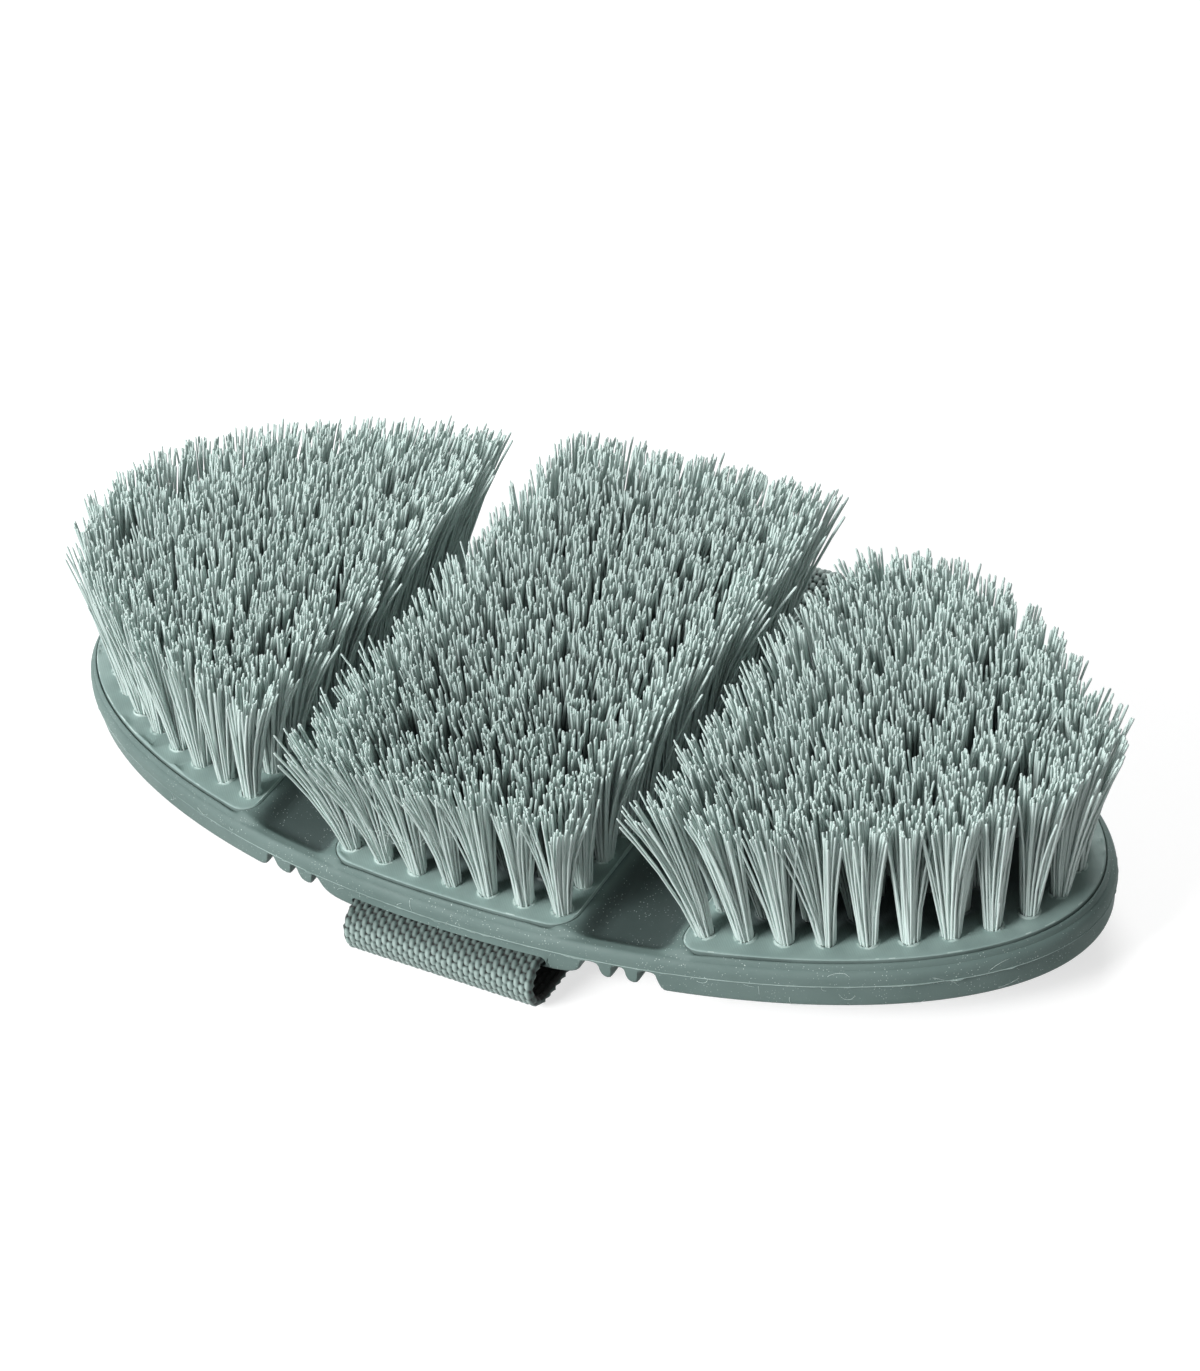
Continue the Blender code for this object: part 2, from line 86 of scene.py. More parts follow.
# How far a point lies inside the oval, found by halving
def insetAt(x, y):
    low = np.full(np.shape(x), -outsideReach)
    high = np.full(np.shape(x), body["halfWidth"] - 0.01)
    for _ in range(halvings):
        middle = (low + high) / 2
        reach = (x / (body["halfLength"] - middle)) ** 2 + (y / (body["halfWidth"] - middle)) ** 2
        inside = reach < 1.0
        low = np.where(inside, middle, low)
        high = np.where(inside, high, middle)
    return low


# Distance to the edge of the nearest plate, negative over the plate itself
def plateEdge(x, y, side=None):
    radius = body["plateCorner"]
    byOval = body["plateInset"] - insetAt(x, y) + radius
    byMiddle = np.abs(x) - body["middleHalf"] + radius
    byWing = body["wingStart"] - np.abs(x) + radius

    def rounded(byCut):
        corner = np.hypot(np.maximum(byOval, 0.0), np.maximum(byCut, 0.0))
        return np.minimum(np.maximum(byOval, byCut), 0.0) + corner - radius

    if side == 0:
        return rounded(byMiddle)
    if side is not None:
        return rounded(byWing)
    return np.minimum(rounded(byMiddle), rounded(byWing))


# Smooth chance between about -1 and 1, the same at the same place each time
def unevenAt(x, y, z, scale, seed):
    return noise.noise(Vector((x * scale, y * scale, z * scale + seed)))


def makePiece(name, points, faces, materials, faceMaterial=None):
    mesh = bpy.data.meshes.new(name)
    mesh.from_pydata(place(points).tolist(), [], faces)
    for item in materials:
        mesh.materials.append(item)
    if faceMaterial is not None:
        mesh.polygons.foreach_set("material_index", np.array(faceMaterial, dtype=np.int32))
    mesh.polygons.foreach_set("use_smooth", np.ones(len(mesh.polygons), dtype=bool))
    mesh.update()
    made = bpy.data.objects.new(name, mesh)
    bpy.context.scene.collection.objects.link(made)
    return made


# Quads between rows of point numbers, either closed rings or open lines
def joinRows(rows, closed):
    quads = []
    for low, high in zip(rows, rows[1:]):
        for k in range(len(low) if closed else len(low) - 1):
            after = (k + 1) % len(low)
            quads.append([low[k], low[after], high[after], high[k]])
    return quads


# One number for each point of a mesh, which a material can read
def writeAttribute(mesh, label, values):
    attribute = mesh.attributes.new(label, "FLOAT", "POINT")
    attribute.data.foreach_set("value", np.asarray(values, dtype=np.float32))


def newMaterial(name):
    made = bpy.data.materials.new(name)
    made.use_nodes = True
    nodes = made.node_tree.nodes
    return made, nodes, made.node_tree.links, nodes["Principled BSDF"]


def readAttribute(nodes, label, output="Fac"):
    made = nodes.new("ShaderNodeAttribute")
    made.attribute_name = label
    return made.outputs[output]


def addNoise(nodes, links, source, scale, detail=4.0, rough=0.6):
    made = nodes.new("ShaderNodeTexNoise")
    made.inputs["Scale"].default_value = scale
    made.inputs["Detail"].default_value = detail
    made.inputs["Roughness"].default_value = rough
    links.new(source, made.inputs["Vector"])
    return made.outputs["Fac"]


def addRamp(nodes, links, source, stops):
    made = nodes.new("ShaderNodeValToRGB")
    ramp = made.color_ramp
    while len(ramp.elements) < len(stops):
        ramp.elements.new(0.5)
    for element, (position, colour) in zip(ramp.elements, stops):
        element.position = position
        element.color = (*colour, 1.0)
    links.new(source, made.inputs["Fac"])
    return made.outputs["Color"]


# Colours that follow a noise pattern
def addMottle(nodes, links, where, scale, stops, detail=4.0):
    return addRamp(nodes, links, addNoise(nodes, links, where, scale, detail), stops)


def addMix(nodes, links, factor, first, second, blend="MIX"):
    made = nodes.new("ShaderNodeMix")
    made.data_type = "RGBA"
    made.blend_type = blend
    for socket, value in ((made.inputs["Factor"], factor), (made.inputs["A"], first),
                          (made.inputs["B"], second)):
        if isinstance(value, bpy.types.NodeSocket):
            links.new(value, socket)
        else:
            socket.default_value = value
    return made.outputs["Result"]


def addBump(nodes, links, shader, height, strength, distance):
    made = nodes.new("ShaderNodeBump")
    made.inputs["Strength"].default_value = strength
    made.inputs["Distance"].default_value = distance
    links.new(height, made.inputs["Height"])
    links.new(made.outputs["Normal"], shader.inputs["Normal"])


# Small round specks, one to a cell, kept to patches
def addSpecks(nodes, links, where, scale, size, patchScale, patchStart):
    cells = nodes.new("ShaderNodeTexVoronoi")
    cells.inputs["Scale"].default_value = scale
    links.new(where, cells.inputs["Vector"])
    near = addRamp(nodes, links, cells.outputs["Distance"],
                   [(size * 0.5, (1.0, 1.0, 1.0)), (size, (0.0, 0.0, 0.0))])
    patchStops = [(patchStart, (0.0, 0.0, 0.0)), (patchStart + 0.12, (1.0, 1.0, 1.0))]
    patches = addMottle(nodes, links, where, patchScale, patchStops, detail=2.0)
    return addMix(nodes, links, 1.0, near, patches, "MULTIPLY")


# Painted shade: darker where shade falls, on the channel floors between the plates and on the
# plates between the tufts
def addPaintedShade(nodes, links, colour, shade):
    return addMix(nodes, links, readAttribute(nodes, "paintedShadeAmount"), colour,
                  addMix(nodes, links, 1.0, colour, shade, "MULTIPLY"))


# Roughness that changes a little from place to place
def addWear(nodes, links, shader, where, scale, low, high):
    wear = addMottle(nodes, links, where, scale, [(0.3, (low,) * 3), (0.7, (high,) * 3)])
    links.new(wear, shader.inputs["Roughness"])


def objectPlace(nodes):
    return nodes.new("ShaderNodeTexCoord").outputs["Object"]


rubberLook = {
    "dark": (0.094, 0.141, 0.131),
    "light": (0.132, 0.188, 0.176),
    "flash": (0.400, 0.500, 0.475),
    "dust": (0.50, 0.58, 0.555),
    # colour that painted shade multiplies the rubber by
    "paintedShade": (0.40, 0.40, 0.41, 1.0),
    "mottleScale": 45.0,
    "mottleStops": (0.30, 0.72),
    "coarseSpecks": (900.0, 0.12, 300.0, 0.50),     # scale, size, scale of the patches, their start
    "fineSpecks": (1900.0, 0.17, 210.0, 0.44),
    "wearScale": 160.0,
    "roughness": (0.58, 0.76),
    "specular": 0.35,
    "grainScale": 2600.0,
    "grain": (0.35, 0.00008),       # strength and depth in metres
}


# Matt moulded rubber: soft mottling, fine dust specks, a fine grain, and painted shade on the
# channel floors
def rubberMaterial(name, dark, light):
    made, nodes, links, shader = newMaterial(name)
    where = readAttribute(nodes, "restPlace", "Vector")
    start, end = rubberLook["mottleStops"]
    mottle = addMottle(nodes, links, where, rubberLook["mottleScale"],
                       [(start, dark), (end, light)])
    coarse = addSpecks(nodes, links, where, *rubberLook["coarseSpecks"])
    fine = addSpecks(nodes, links, where, *rubberLook["fineSpecks"])
    specks = addMix(nodes, links, 1.0, coarse, fine, "ADD")
    # painted shade on the channel floors
    mottle = addPaintedShade(nodes, links, mottle, rubberLook["paintedShade"])
    colour = addMix(nodes, links, specks, mottle, (*rubberLook["dust"], 1.0))
    links.new(colour, shader.inputs["Base Color"])
    addWear(nodes, links, shader, where, rubberLook["wearScale"], *rubberLook["roughness"])
    shader.inputs["Specular IOR Level"].default_value = rubberLook["specular"]
    grain = addNoise(nodes, links, where, rubberLook["grainScale"], detail=3.0)
    addBump(nodes, links, shader, grain, *rubberLook["grain"])
    return made


plateLook = {
    "dark": (0.194, 0.272, 0.256),
    "light": (0.247, 0.334, 0.315),
    # painted shade in the crease along the plate's foot
    "creaseShade": (0.075, 0.110, 0.102),
    "creaseShadeLight": (0.130, 0.182, 0.171),
    "flash": (0.30, 0.40, 0.377),
    "burr": (0.46, 0.56, 0.53),
    # colour that painted shade multiplies the plate by between the tufts
    "paintedShade": (0.22, 0.22, 0.23, 1.0),
    "plainRoughness": (0.55, 0.72),
    "burrRoughness": (0.50, 0.66),
    "creaseShadeRoughness": (0.60, 0.78),
    "mottleScale": 120.0,
    "mottleStops": (0.30, 0.70),
    "wearScale": 420.0,
    "specular": 0.35,
    "markScale": 1150.0,
    "markWarp": 0.6,
    "markShare": 0.35,      # of the tool marks in the relief
    "grainScale": 1800.0,
    "grain": (0.35, 0.00006),       # strength and depth in metres
}


# Moulded plate: a little glossier than the rubber, with fine scuffs and painted shade between the
# tufts
def plateMaterial(name, dark, light, roughness):
    made, nodes, links, shader = newMaterial(name)
    where = objectPlace(nodes)
    start, end = plateLook["mottleStops"]
    colour = addMottle(nodes, links, where, plateLook["mottleScale"],
                       [(start, dark), (end, light)])
    # painted shade between the tufts
    colour = addPaintedShade(nodes, links, colour, plateLook["paintedShade"])
    links.new(colour, shader.inputs["Base Color"])
    addWear(nodes, links, shader, where, plateLook["wearScale"], *roughness)
    shader.inputs["Specular IOR Level"].default_value = plateLook["specular"]
    # fine slanting tool marks of the mould
    marks = nodes.new("ShaderNodeTexWave")
    marks.bands_direction = "DIAGONAL"
    marks.inputs["Scale"].default_value = plateLook["markScale"]
    marks.inputs["Distortion"].default_value = plateLook["markWarp"]
    marks.inputs["Detail"].default_value = 1.0
    links.new(where, marks.inputs["Vector"])
    grain = addNoise(nodes, links, where, plateLook["grainScale"])
    relief = addMix(nodes, links, plateLook["markShare"], grain, marks.outputs["Color"])
    addBump(nodes, links, shader, relief, *plateLook["grain"])
    return made


filamentLook = {
    # Places on the scale that buildFilaments writes, each with its colour: below the middle for the
    # tufts inside a field and above it for the outer ones.
    # The dark lowest stop is painted shade, deep down among the tufts inside a field
    "shaftAndShade": [(0.0, (0.085, 0.112, 0.105)), (0.5, (0.535, 0.640, 0.613)),
              (1.0, (0.650, 0.760, 0.731))],
    "tip": [(0.5, (0.470, 0.565, 0.541)), (0.7, (0.580, 0.685, 0.657))],
    "shaftSpread": 0.16,    # how much darker than these the darkest tint is
    "tipSpread": 0.10,
    "roughness": 0.58,
    "specular": 0.12,
    "grainScale": 900.0,
    "grain": (0.10, 0.00003),       # strength and depth in metres
}


# Filament: colour along it from the scale that buildFilaments writes, with painted shade towards
# the root inside a field, and a tint of its own for each tuft and strand
def filamentMaterial(name, colours, spread):
    made, nodes, links, shader = newMaterial(name)
    base = addRamp(nodes, links, readAttribute(nodes, "along"), colours)
    shade = addRamp(nodes, links, readAttribute(nodes, "tint"),
                    [(0.0, (1.0 - spread,) * 3), (1.0, (1.0,) * 3)])
    links.new(addMix(nodes, links, 1.0, base, shade, "MULTIPLY"), shader.inputs["Base Color"])
    shader.inputs["Roughness"].default_value = filamentLook["roughness"]
    shader.inputs["Specular IOR Level"].default_value = filamentLook["specular"]
    grain = addNoise(nodes, links, objectPlace(nodes), filamentLook["grainScale"], detail=1.0)
    addBump(nodes, links, shader, grain, *filamentLook["grain"])
    return made


webbingLook = {
    "pit": (0.22, (0.002, 0.004, 0.003)),       # height of the weave, and colour there: painted shade in the pits
    "yarn": (0.48, (0.070, 0.108, 0.099)),
    # painted highlight on the crests
    "crest": (0.93, (0.310, 0.400, 0.377)),
    "worn": 0.78,           # how dark the soiled patches are beside the clean ones
    "roughness": 0.72,
    "sheen": 0.15,
    "shadeScale": 900.0,
    "fibreScale": 5200.0,
    "fibres": (0.5, 0.00010),       # strength and depth in metres
}


# Woven webbing: the height of the weave sets the colour, with painted shade in the pits and a
# painted highlight on the crests, and fine fibres give the bump
def webbingMaterial():
    made, nodes, links, shader = newMaterial("sageWebbing")
    colour = addRamp(nodes, links, readAttribute(nodes, "weave"),
                     [webbingLook["pit"], webbingLook["yarn"], webbingLook["crest"]])
    where = objectPlace(nodes)
    shade = addMottle(nodes, links, where, webbingLook["shadeScale"],
                      [(0.2, (webbingLook["worn"],) * 3), (0.8, (1.0,) * 3)])
    links.new(addMix(nodes, links, 1.0, colour, shade, "MULTIPLY"), shader.inputs["Base Color"])
    shader.inputs["Roughness"].default_value = webbingLook["roughness"]
    shader.inputs["Sheen Weight"].default_value = webbingLook["sheen"]
    fibres = addNoise(nodes, links, where, webbingLook["fibreScale"], detail=4.0, rough=0.7)
    addBump(nodes, links, shader, fibres, *webbingLook["fibres"])
    return made


steelLook = {
    "dark": (0.46, 0.46, 0.45),
    "light": (0.66, 0.66, 0.64),
    "colourScale": 900.0,
    "wearScale": 2400.0,
    "roughness": (0.26, 0.42),
}


def steelMaterial():
    made, nodes, links, shader = newMaterial("stapleSteel")
    where = objectPlace(nodes)
    colour = addMottle(nodes, links, where, steelLook["colourScale"],
                       [(0.3, steelLook["dark"]), (0.7, steelLook["light"])])
    links.new(colour, shader.inputs["Base Color"])
    shader.inputs["Metallic"].default_value = 1.0
    addWear(nodes, links, shader, where, steelLook["wearScale"], *steelLook["roughness"])
    return made


rubberPaint = rubberMaterial("sageRubber", rubberLook["dark"], rubberLook["light"])
flashPaint = rubberMaterial("sageFlash", rubberLook["light"], rubberLook["flash"])
platePaint = plateMaterial("sagePlate", plateLook["dark"], plateLook["light"],
                           plateLook["plainRoughness"])
burrPaint = plateMaterial("sageBurr", plateLook["flash"], plateLook["burr"],
                          plateLook["burrRoughness"])
# painted shade for the crease along the plate's foot
creaseShadePaint = plateMaterial("sageCreaseShade", plateLook["creaseShade"], plateLook["creaseShadeLight"],
                          plateLook["creaseShadeRoughness"])
shaftPaint = filamentMaterial("bristleShaft", filamentLook["shaftAndShade"], filamentLook["shaftSpread"])
tipPaint = filamentMaterial("bristleTip", filamentLook["tip"], filamentLook["tipSpread"])
webbingPaint = webbingMaterial()
steelPaint = steelMaterial()
print("materials made")


rubber = {
    "crown": 2.8,
    "channelFloor": 1.4,
    "channelSlope": (2.1, 4.7),    # insets where the rim starts to fall and meets the floor
    "slopePower": 1.25,
    "channelFade": (1.5, 8.0),      # how the channel's shape fades in beside its straight edges
    "channelEdge": (0.9, 2.3),      # and in from the oval's edge
    "crease": 0.85,         # thin groove that runs along the plate's edge
    "creaseReach": 0.19,
    "rimTop": 4.20,         # where the rim meets the plate's curved edge
    "rimReach": 1.55,
    "bankTop": 4.22,        # where the channel's bank meets the plate's straight edge
    "bankReach": 4.8,
    "bankPower": 1.3,
    "lowerStep": 0.35,
    "draft": 0.05,
    "wallTop": -0.08,
    "cornerRadius": 0.9,
    "grooveCorner": 0.75,
    "cornerDepths": (3.6, 5.1),     # the corner grows from the grooves' to the body's over these
    "cornerSteps": 4,
    "slotHalf": {1: 20.1, -1: 19.1},
    "slotTop": -2.1,
    "slotBottom": -4.3,
    "slotCorner": 1.1,
    "slotLip": 0.24,
    "slotDepth": 6.5,
    "slotTaper": 0.12,
    "pocketDepth": 1.8,
    "tunnelStep": 0.3,      # first step in from the slot's mouth
    "pocketStep": 0.5,
    "pocketEdge": 0.2,      # how near to a plate an open edge is closed by the pocket's wall
    "flash": 0.07,
    "flashRagged": 0.22,
    "tears": ((26.0, 2.6, 0.28), (80.0, 4.0, 0.22)),    # middle, half width and height
    "tipTurn": (50.0, 82.0),        # where stations start to follow the oval's tip, and fully do
    "tipSteps": 128,
    "acrossSteps": 26,
    "floorSteps": 15,
    "plateClearance": 0.03,
    # insets, and distances from the plates, over which painted shade grows on the channel floors
    "paintedShadeInset": (2.6, 4.8),
    "paintedShadeEdge": (0.0, 2.4),
    "mergeReach": 0.012,
    "sharpAngle": 42,
}

# Section of the three grooves and the two ribs between them: place along x and height
grooves = [
    (19.6, -5.20), (21.0, -5.15), (22.3, -5.05), (23.4, -4.90), (24.4, -4.62), (25.2, -4.20),
    (25.8, -3.60), (26.15, -2.90), (26.35, -2.20), (26.75, -1.55), (27.4, -1.12), (28.15, -0.98),
    (28.9, -1.12), (29.5, -1.55), (29.82, -2.20), (29.92, -3.10), (30.1, -3.72), (30.45, -4.18),
    (30.95, -4.35), (31.4, -4.18), (31.72, -3.75), (31.87, -3.10), (31.93, -2.30), (32.15, -1.55),
    (32.6, -1.10), (33.2, -0.95), (33.85, -1.12), (34.3, -1.60), (34.48, -2.30), (34.55, -3.20),
    (34.75, -3.85), (35.1, -4.26), (35.6, -4.42), (36.1, -4.26), (36.42, -3.80), (36.55, -3.15),
    (36.62, -2.30), (36.85, -1.60), (37.4, -1.15), (38.2, -0.98), (39.0, -1.10), (39.55, -1.42),
    (39.85, -1.95), (40.0, -2.90), (40.25, -4.00), (40.5, -4.75), (40.8, -5.10), (41.3, -5.20),
]


# On the left wing thin webs of flash make the ribs wider and the mouths narrower
leftGrooves = [
    (19.6, -5.20), (21.0, -5.15), (22.3, -5.05), (23.4, -4.88), (24.4, -4.52), (25.2, -4.00),
    (25.8, -3.30), (26.2, -2.50), (26.5, -1.90), (26.9, -1.42), (27.4, -1.15), (27.85, -1.42),
    (28.1, -2.10), (28.25, -2.90), (28.5, -3.50), (28.9, -3.95), (29.6, -4.22), (30.3, -4.15),
    (30.8, -3.80), (31.1, -3.10), (31.25, -2.20), (31.5, -1.50), (31.9, -1.15), (32.4, -1.12),
    (32.8, -1.42), (33.05, -2.00), (33.2, -2.80), (33.4, -3.45), (33.8, -3.95), (34.6, -4.26),
    (35.4, -4.20), (35.95, -3.95), (36.3, -3.60), (36.5, -3.00), (36.7, -2.20), (37.0, -1.50),
    (37.6, -1.15), (38.2, -1.45), (38.6, -2.20), (38.85, -3.10), (39.15, -3.80), (39.6, -4.40),
    (40.1, -4.85), (40.7, -5.10), (41.3, -5.20),
]


def undersideAt(x, side):
    spots = grooves if side > 0 else leftGrooves
    return np.interp(x, [spot[0] for spot in spots], [spot[1] for spot in spots])


# Stretches along one half, each with the step between its stations
stretches = ((0.0, 19.6, 0.6), (20.0, 26.0, 0.45), (26.0, 41.2, 0.33), (41.6, 50.0, 0.55))
slotBacks = (rubber["slotCorner"], 0.7, 0.4, 0.2, 0.08, 0.0)    # stations at the slot's corner


# Places along one half where the rim's section is drawn, closest together over the grooves
def rimStations(side):
    spots = [spot[0] for spot in (grooves if side > 0 else leftGrooves)]
    for begin, end, step in stretches:
        spots += list(np.arange(begin, end, step))
    spots += [rubber["slotHalf"][side] - back for back in slotBacks]
    spots += [body["middleHalf"] + 0.04, body["wingStart"] - 0.04]
    turn = math.acos(rubber["tipTurn"][0] / body["halfLength"])
    steps = rubber["tipSteps"]
    spots += [body["halfLength"] * math.cos(turn * (1.0 - step / steps))
              for step in range(steps + 1)]
    kept = []
    for spot in sorted(spots):
        if not kept or spot - kept[-1] > 0.05 or spot == body["halfLength"]:
            kept.append(spot)
    return np.array(kept)


# Point of the inset oval that belongs to a station: straight across over the middle and the
# grooves, and square to the edge near the tip
def stationPoint(x, inset):
    toTip = smoothStep(*rubber["tipTurn"], x)
    scaled = (body["halfLength"] - inset) * x / body["halfLength"]
    across = x * (1.0 - toTip) + scaled * toTip
    return across, ovalHalf(across, inset)


# Share by which a point belongs to a channel rather than to the band along the oval's edge
def channelShare(x, inset):
    x = np.abs(x)
    inner, outer = body["middleHalf"], body["wingStart"]
    close, far = rubber["channelFade"]
    along = smoothStep(inner - far, inner - close, x)
    along = along * (1.0 - smoothStep(outer + close, outer + far, x))
    return along * smoothStep(*rubber["channelEdge"], inset)


def rimHeight(x, inset, edge):
    start, end = rubber["channelSlope"]
    fall = 1.0 - smoothStep(start, end, inset)
    crown = rubber["crown"] - rubber["channelFloor"]
    height = rubber["channelFloor"] + crown * fall ** rubber["slopePower"]
    edge = np.maximum(edge, 0.0)
    share = channelShare(x, inset)
    bank = (1.0 - smoothStep(0.0, rubber["bankReach"], edge)) ** rubber["bankPower"]
    rise = 1.0 - smoothStep(0.0, rubber["rimReach"], edge)
    height = height + (rubber["rimTop"] - height) * (1.0 - share) * rise
    height = height + (rubber["bankTop"] - height) * share * bank
    return height - rubber["crease"] * (1.0 - share) * np.exp(-edge / rubber["creaseReach"])


# How far the thin flash stands out along the parting line
def flashAt(x, y):
    ragged = max(0.0, unevenAt(x, y, 0.0, scale=0.55, seed=3.0)) ** 2 * 3.0
    fine = 0.5 + 0.5 * unevenAt(x, y, 0.0, scale=1.9, seed=9.0)
    amount = rubber["flash"] * (0.6 + 0.8 * fine) + rubber["flashRagged"] * ragged
    for middle, half, extra in rubber["tears"]:
        if y < 0 and abs(x - middle) < half:
            amount += extra * (1.0 - ((x - middle) / half) ** 2) * (0.5 + fine)
    return amount


wallShares = (1.0, 0.82, 0.65, 0.479, 0.30, 0.15, 0.04)
slotRows = (4, 7)     # rows of the section between which the strap's slot is cut
flashRows = (11, 12, 13)    # rows of the thin pale ridge along the parting line
# Insets and heights above the parting line, up to the crown
shoulder = ((0.0, 0.075), (0.01, 0.45), (0.02, 0.85), (0.03, 1.15), (0.06, 1.50), (0.14, 1.85),
            (0.28, 2.18), (0.47, 2.46), (0.69, 2.66), (0.92, 2.78))
lipInsets = (1.08, 1.24, 1.40, 1.54, 1.64, 1.70, 1.76)
slopeInsets = (lipInsets[-1], 2.0, 2.3, 2.6, 2.9, 3.2, 3.6, 4.0, 4.4, 4.9, 5.8, 6.8)


# Section through the rim at one station: inset and height, from the underside over the crown
def rimSection(x, y, ground):
    deep = smoothStep(*rubber["cornerDepths"], -ground)
    corner = rubber["grooveCorner"] + (rubber["cornerRadius"] - rubber["grooveCorner"]) * deep
    corner = min(corner, 0.5 * abs(ground))
    rows = []

    def wallInset(z):
        return rubber["lowerStep"] - rubber["draft"] * z

    turnInset = wallInset(ground) + corner
    turnZ = ground + corner
    for step in range(rubber["cornerSteps"]):
        turn = math.pi / 2 * step / rubber["cornerSteps"]
        rows.append((turnInset - corner * math.sin(turn), turnZ - corner * math.cos(turn)))
    top = rubber["wallTop"]
    for share in wallShares:
        z = top + (turnZ - top) * share
        rows.append((wallInset(z), z))
    flash = flashAt(x, y)
    rows += [(0.33, -0.055), (-flash, -0.025), (-flash, 0.03)]    # step under the flash, and it
    return rows + list(shoulder)


# Floor of the channel between the plates, with the rim's slope: rows of points, and the cells
# that a plate covers
def channelFloor(side, near, inChannel):
    floorSteps = rubber["floorSteps"]
    grid = []
    for x in inChannel:
        deeps = [float(ovalHalf(x, inset)) for inset in slopeInsets]
        deeps += [deeps[-1] * (1.0 - (step + 1) / floorSteps) for step in range(floorSteps)]
        grid.append([(x, deep) for deep in deeps])
    flat = np.array(grid)
    edge = plateEdge(flat[..., 0], flat[..., 1])
    covered = edge < 0.0
    gone = covered[:-1, :-1] & covered[1:, :-1] & covered[:-1, 1:] & covered[1:, 1:]
    # Points just under a plate are pushed out to its edge
    step = 0.02
    slopeX = (plateEdge(flat[..., 0] + step, flat[..., 1]) - edge) / step
    slopeY = (plateEdge(flat[..., 0], flat[..., 1] + step) - edge) / step
    push = np.where(covered, rubber["plateClearance"] - edge, 0.0)
    flat[..., 0] += push * slopeX
    flat[..., 1] = np.maximum(flat[..., 1] + push * slopeY, 0.0)
    edge = plateEdge(flat[..., 0], flat[..., 1])
    inset = insetAt(flat[..., 0], flat[..., 1])
    height = rimHeight(flat[..., 0], inset, edge)
    return np.stack([side * flat[..., 0], near * flat[..., 1], height], axis=2).tolist(), gone


# Welds the grids and adds the pocket's wall under the plates' rounded corners
def weldSkin(mesh):
    low = body["middleHalf"] - body["plateCorner"] - 0.8
    high = body["wingStart"] + body["plateCorner"] + 0.9
    bm = bmesh.new()
    bm.from_mesh(mesh)
    bmesh.ops.remove_doubles(bm, verts=bm.verts, dist=rubber["mergeReach"] * mm)
    rim = []
    for item in bm.edges:
        if item.is_boundary:
            spots = [(vert.co.x / mm, vert.co.y / mm, vert.co.z / mm - partingHeight)
                     for vert in item.verts]
            if all(low < abs(x) < high and z > 1.0
                   and float(plateEdge(x, y)) < rubber["pocketEdge"] for x, y, z in spots):
                rim.append(item)
    raised = bmesh.ops.extrude_edge_only(bm, edges=rim)
    lowered = [item for item in raised["geom"] if isinstance(item, bmesh.types.BMVert)]
    bmesh.ops.translate(bm, verts=lowered, vec=(0, 0, -rubber["pocketDepth"] * mm))
    bm.to_mesh(mesh)
    bm.free()
    mesh.polygons.foreach_set("use_smooth", np.ones(len(mesh.polygons), dtype=bool))
    mesh.set_sharp_from_angle(angle=math.radians(rubber["sharpAngle"]))


# The rubber's pattern keeps to the rest shape, so that it bends with the skin
def keepRestPlace(mesh):
    spots = np.empty(len(mesh.vertices) * 3, dtype=np.float32)
    mesh.vertices.foreach_get("co", spots)
    rest = mesh.attributes.new("restPlace", "FLOAT_VECTOR", "POINT")
    rest.data.foreach_set("vector", spots)
    x, y, z = spots.reshape(-1, 3).T.astype(float) / mm
    # painted shade on the channel floors, away from the oval's edge and the plates, above the
    # parting line
    deep = smoothStep(*rubber["paintedShadeInset"], insetAt(x, y))
    deep = deep * smoothStep(*rubber["paintedShadeEdge"], plateEdge(x, y))
    writeAttribute(mesh, "paintedShadeAmount", deep * (z > partingHeight))


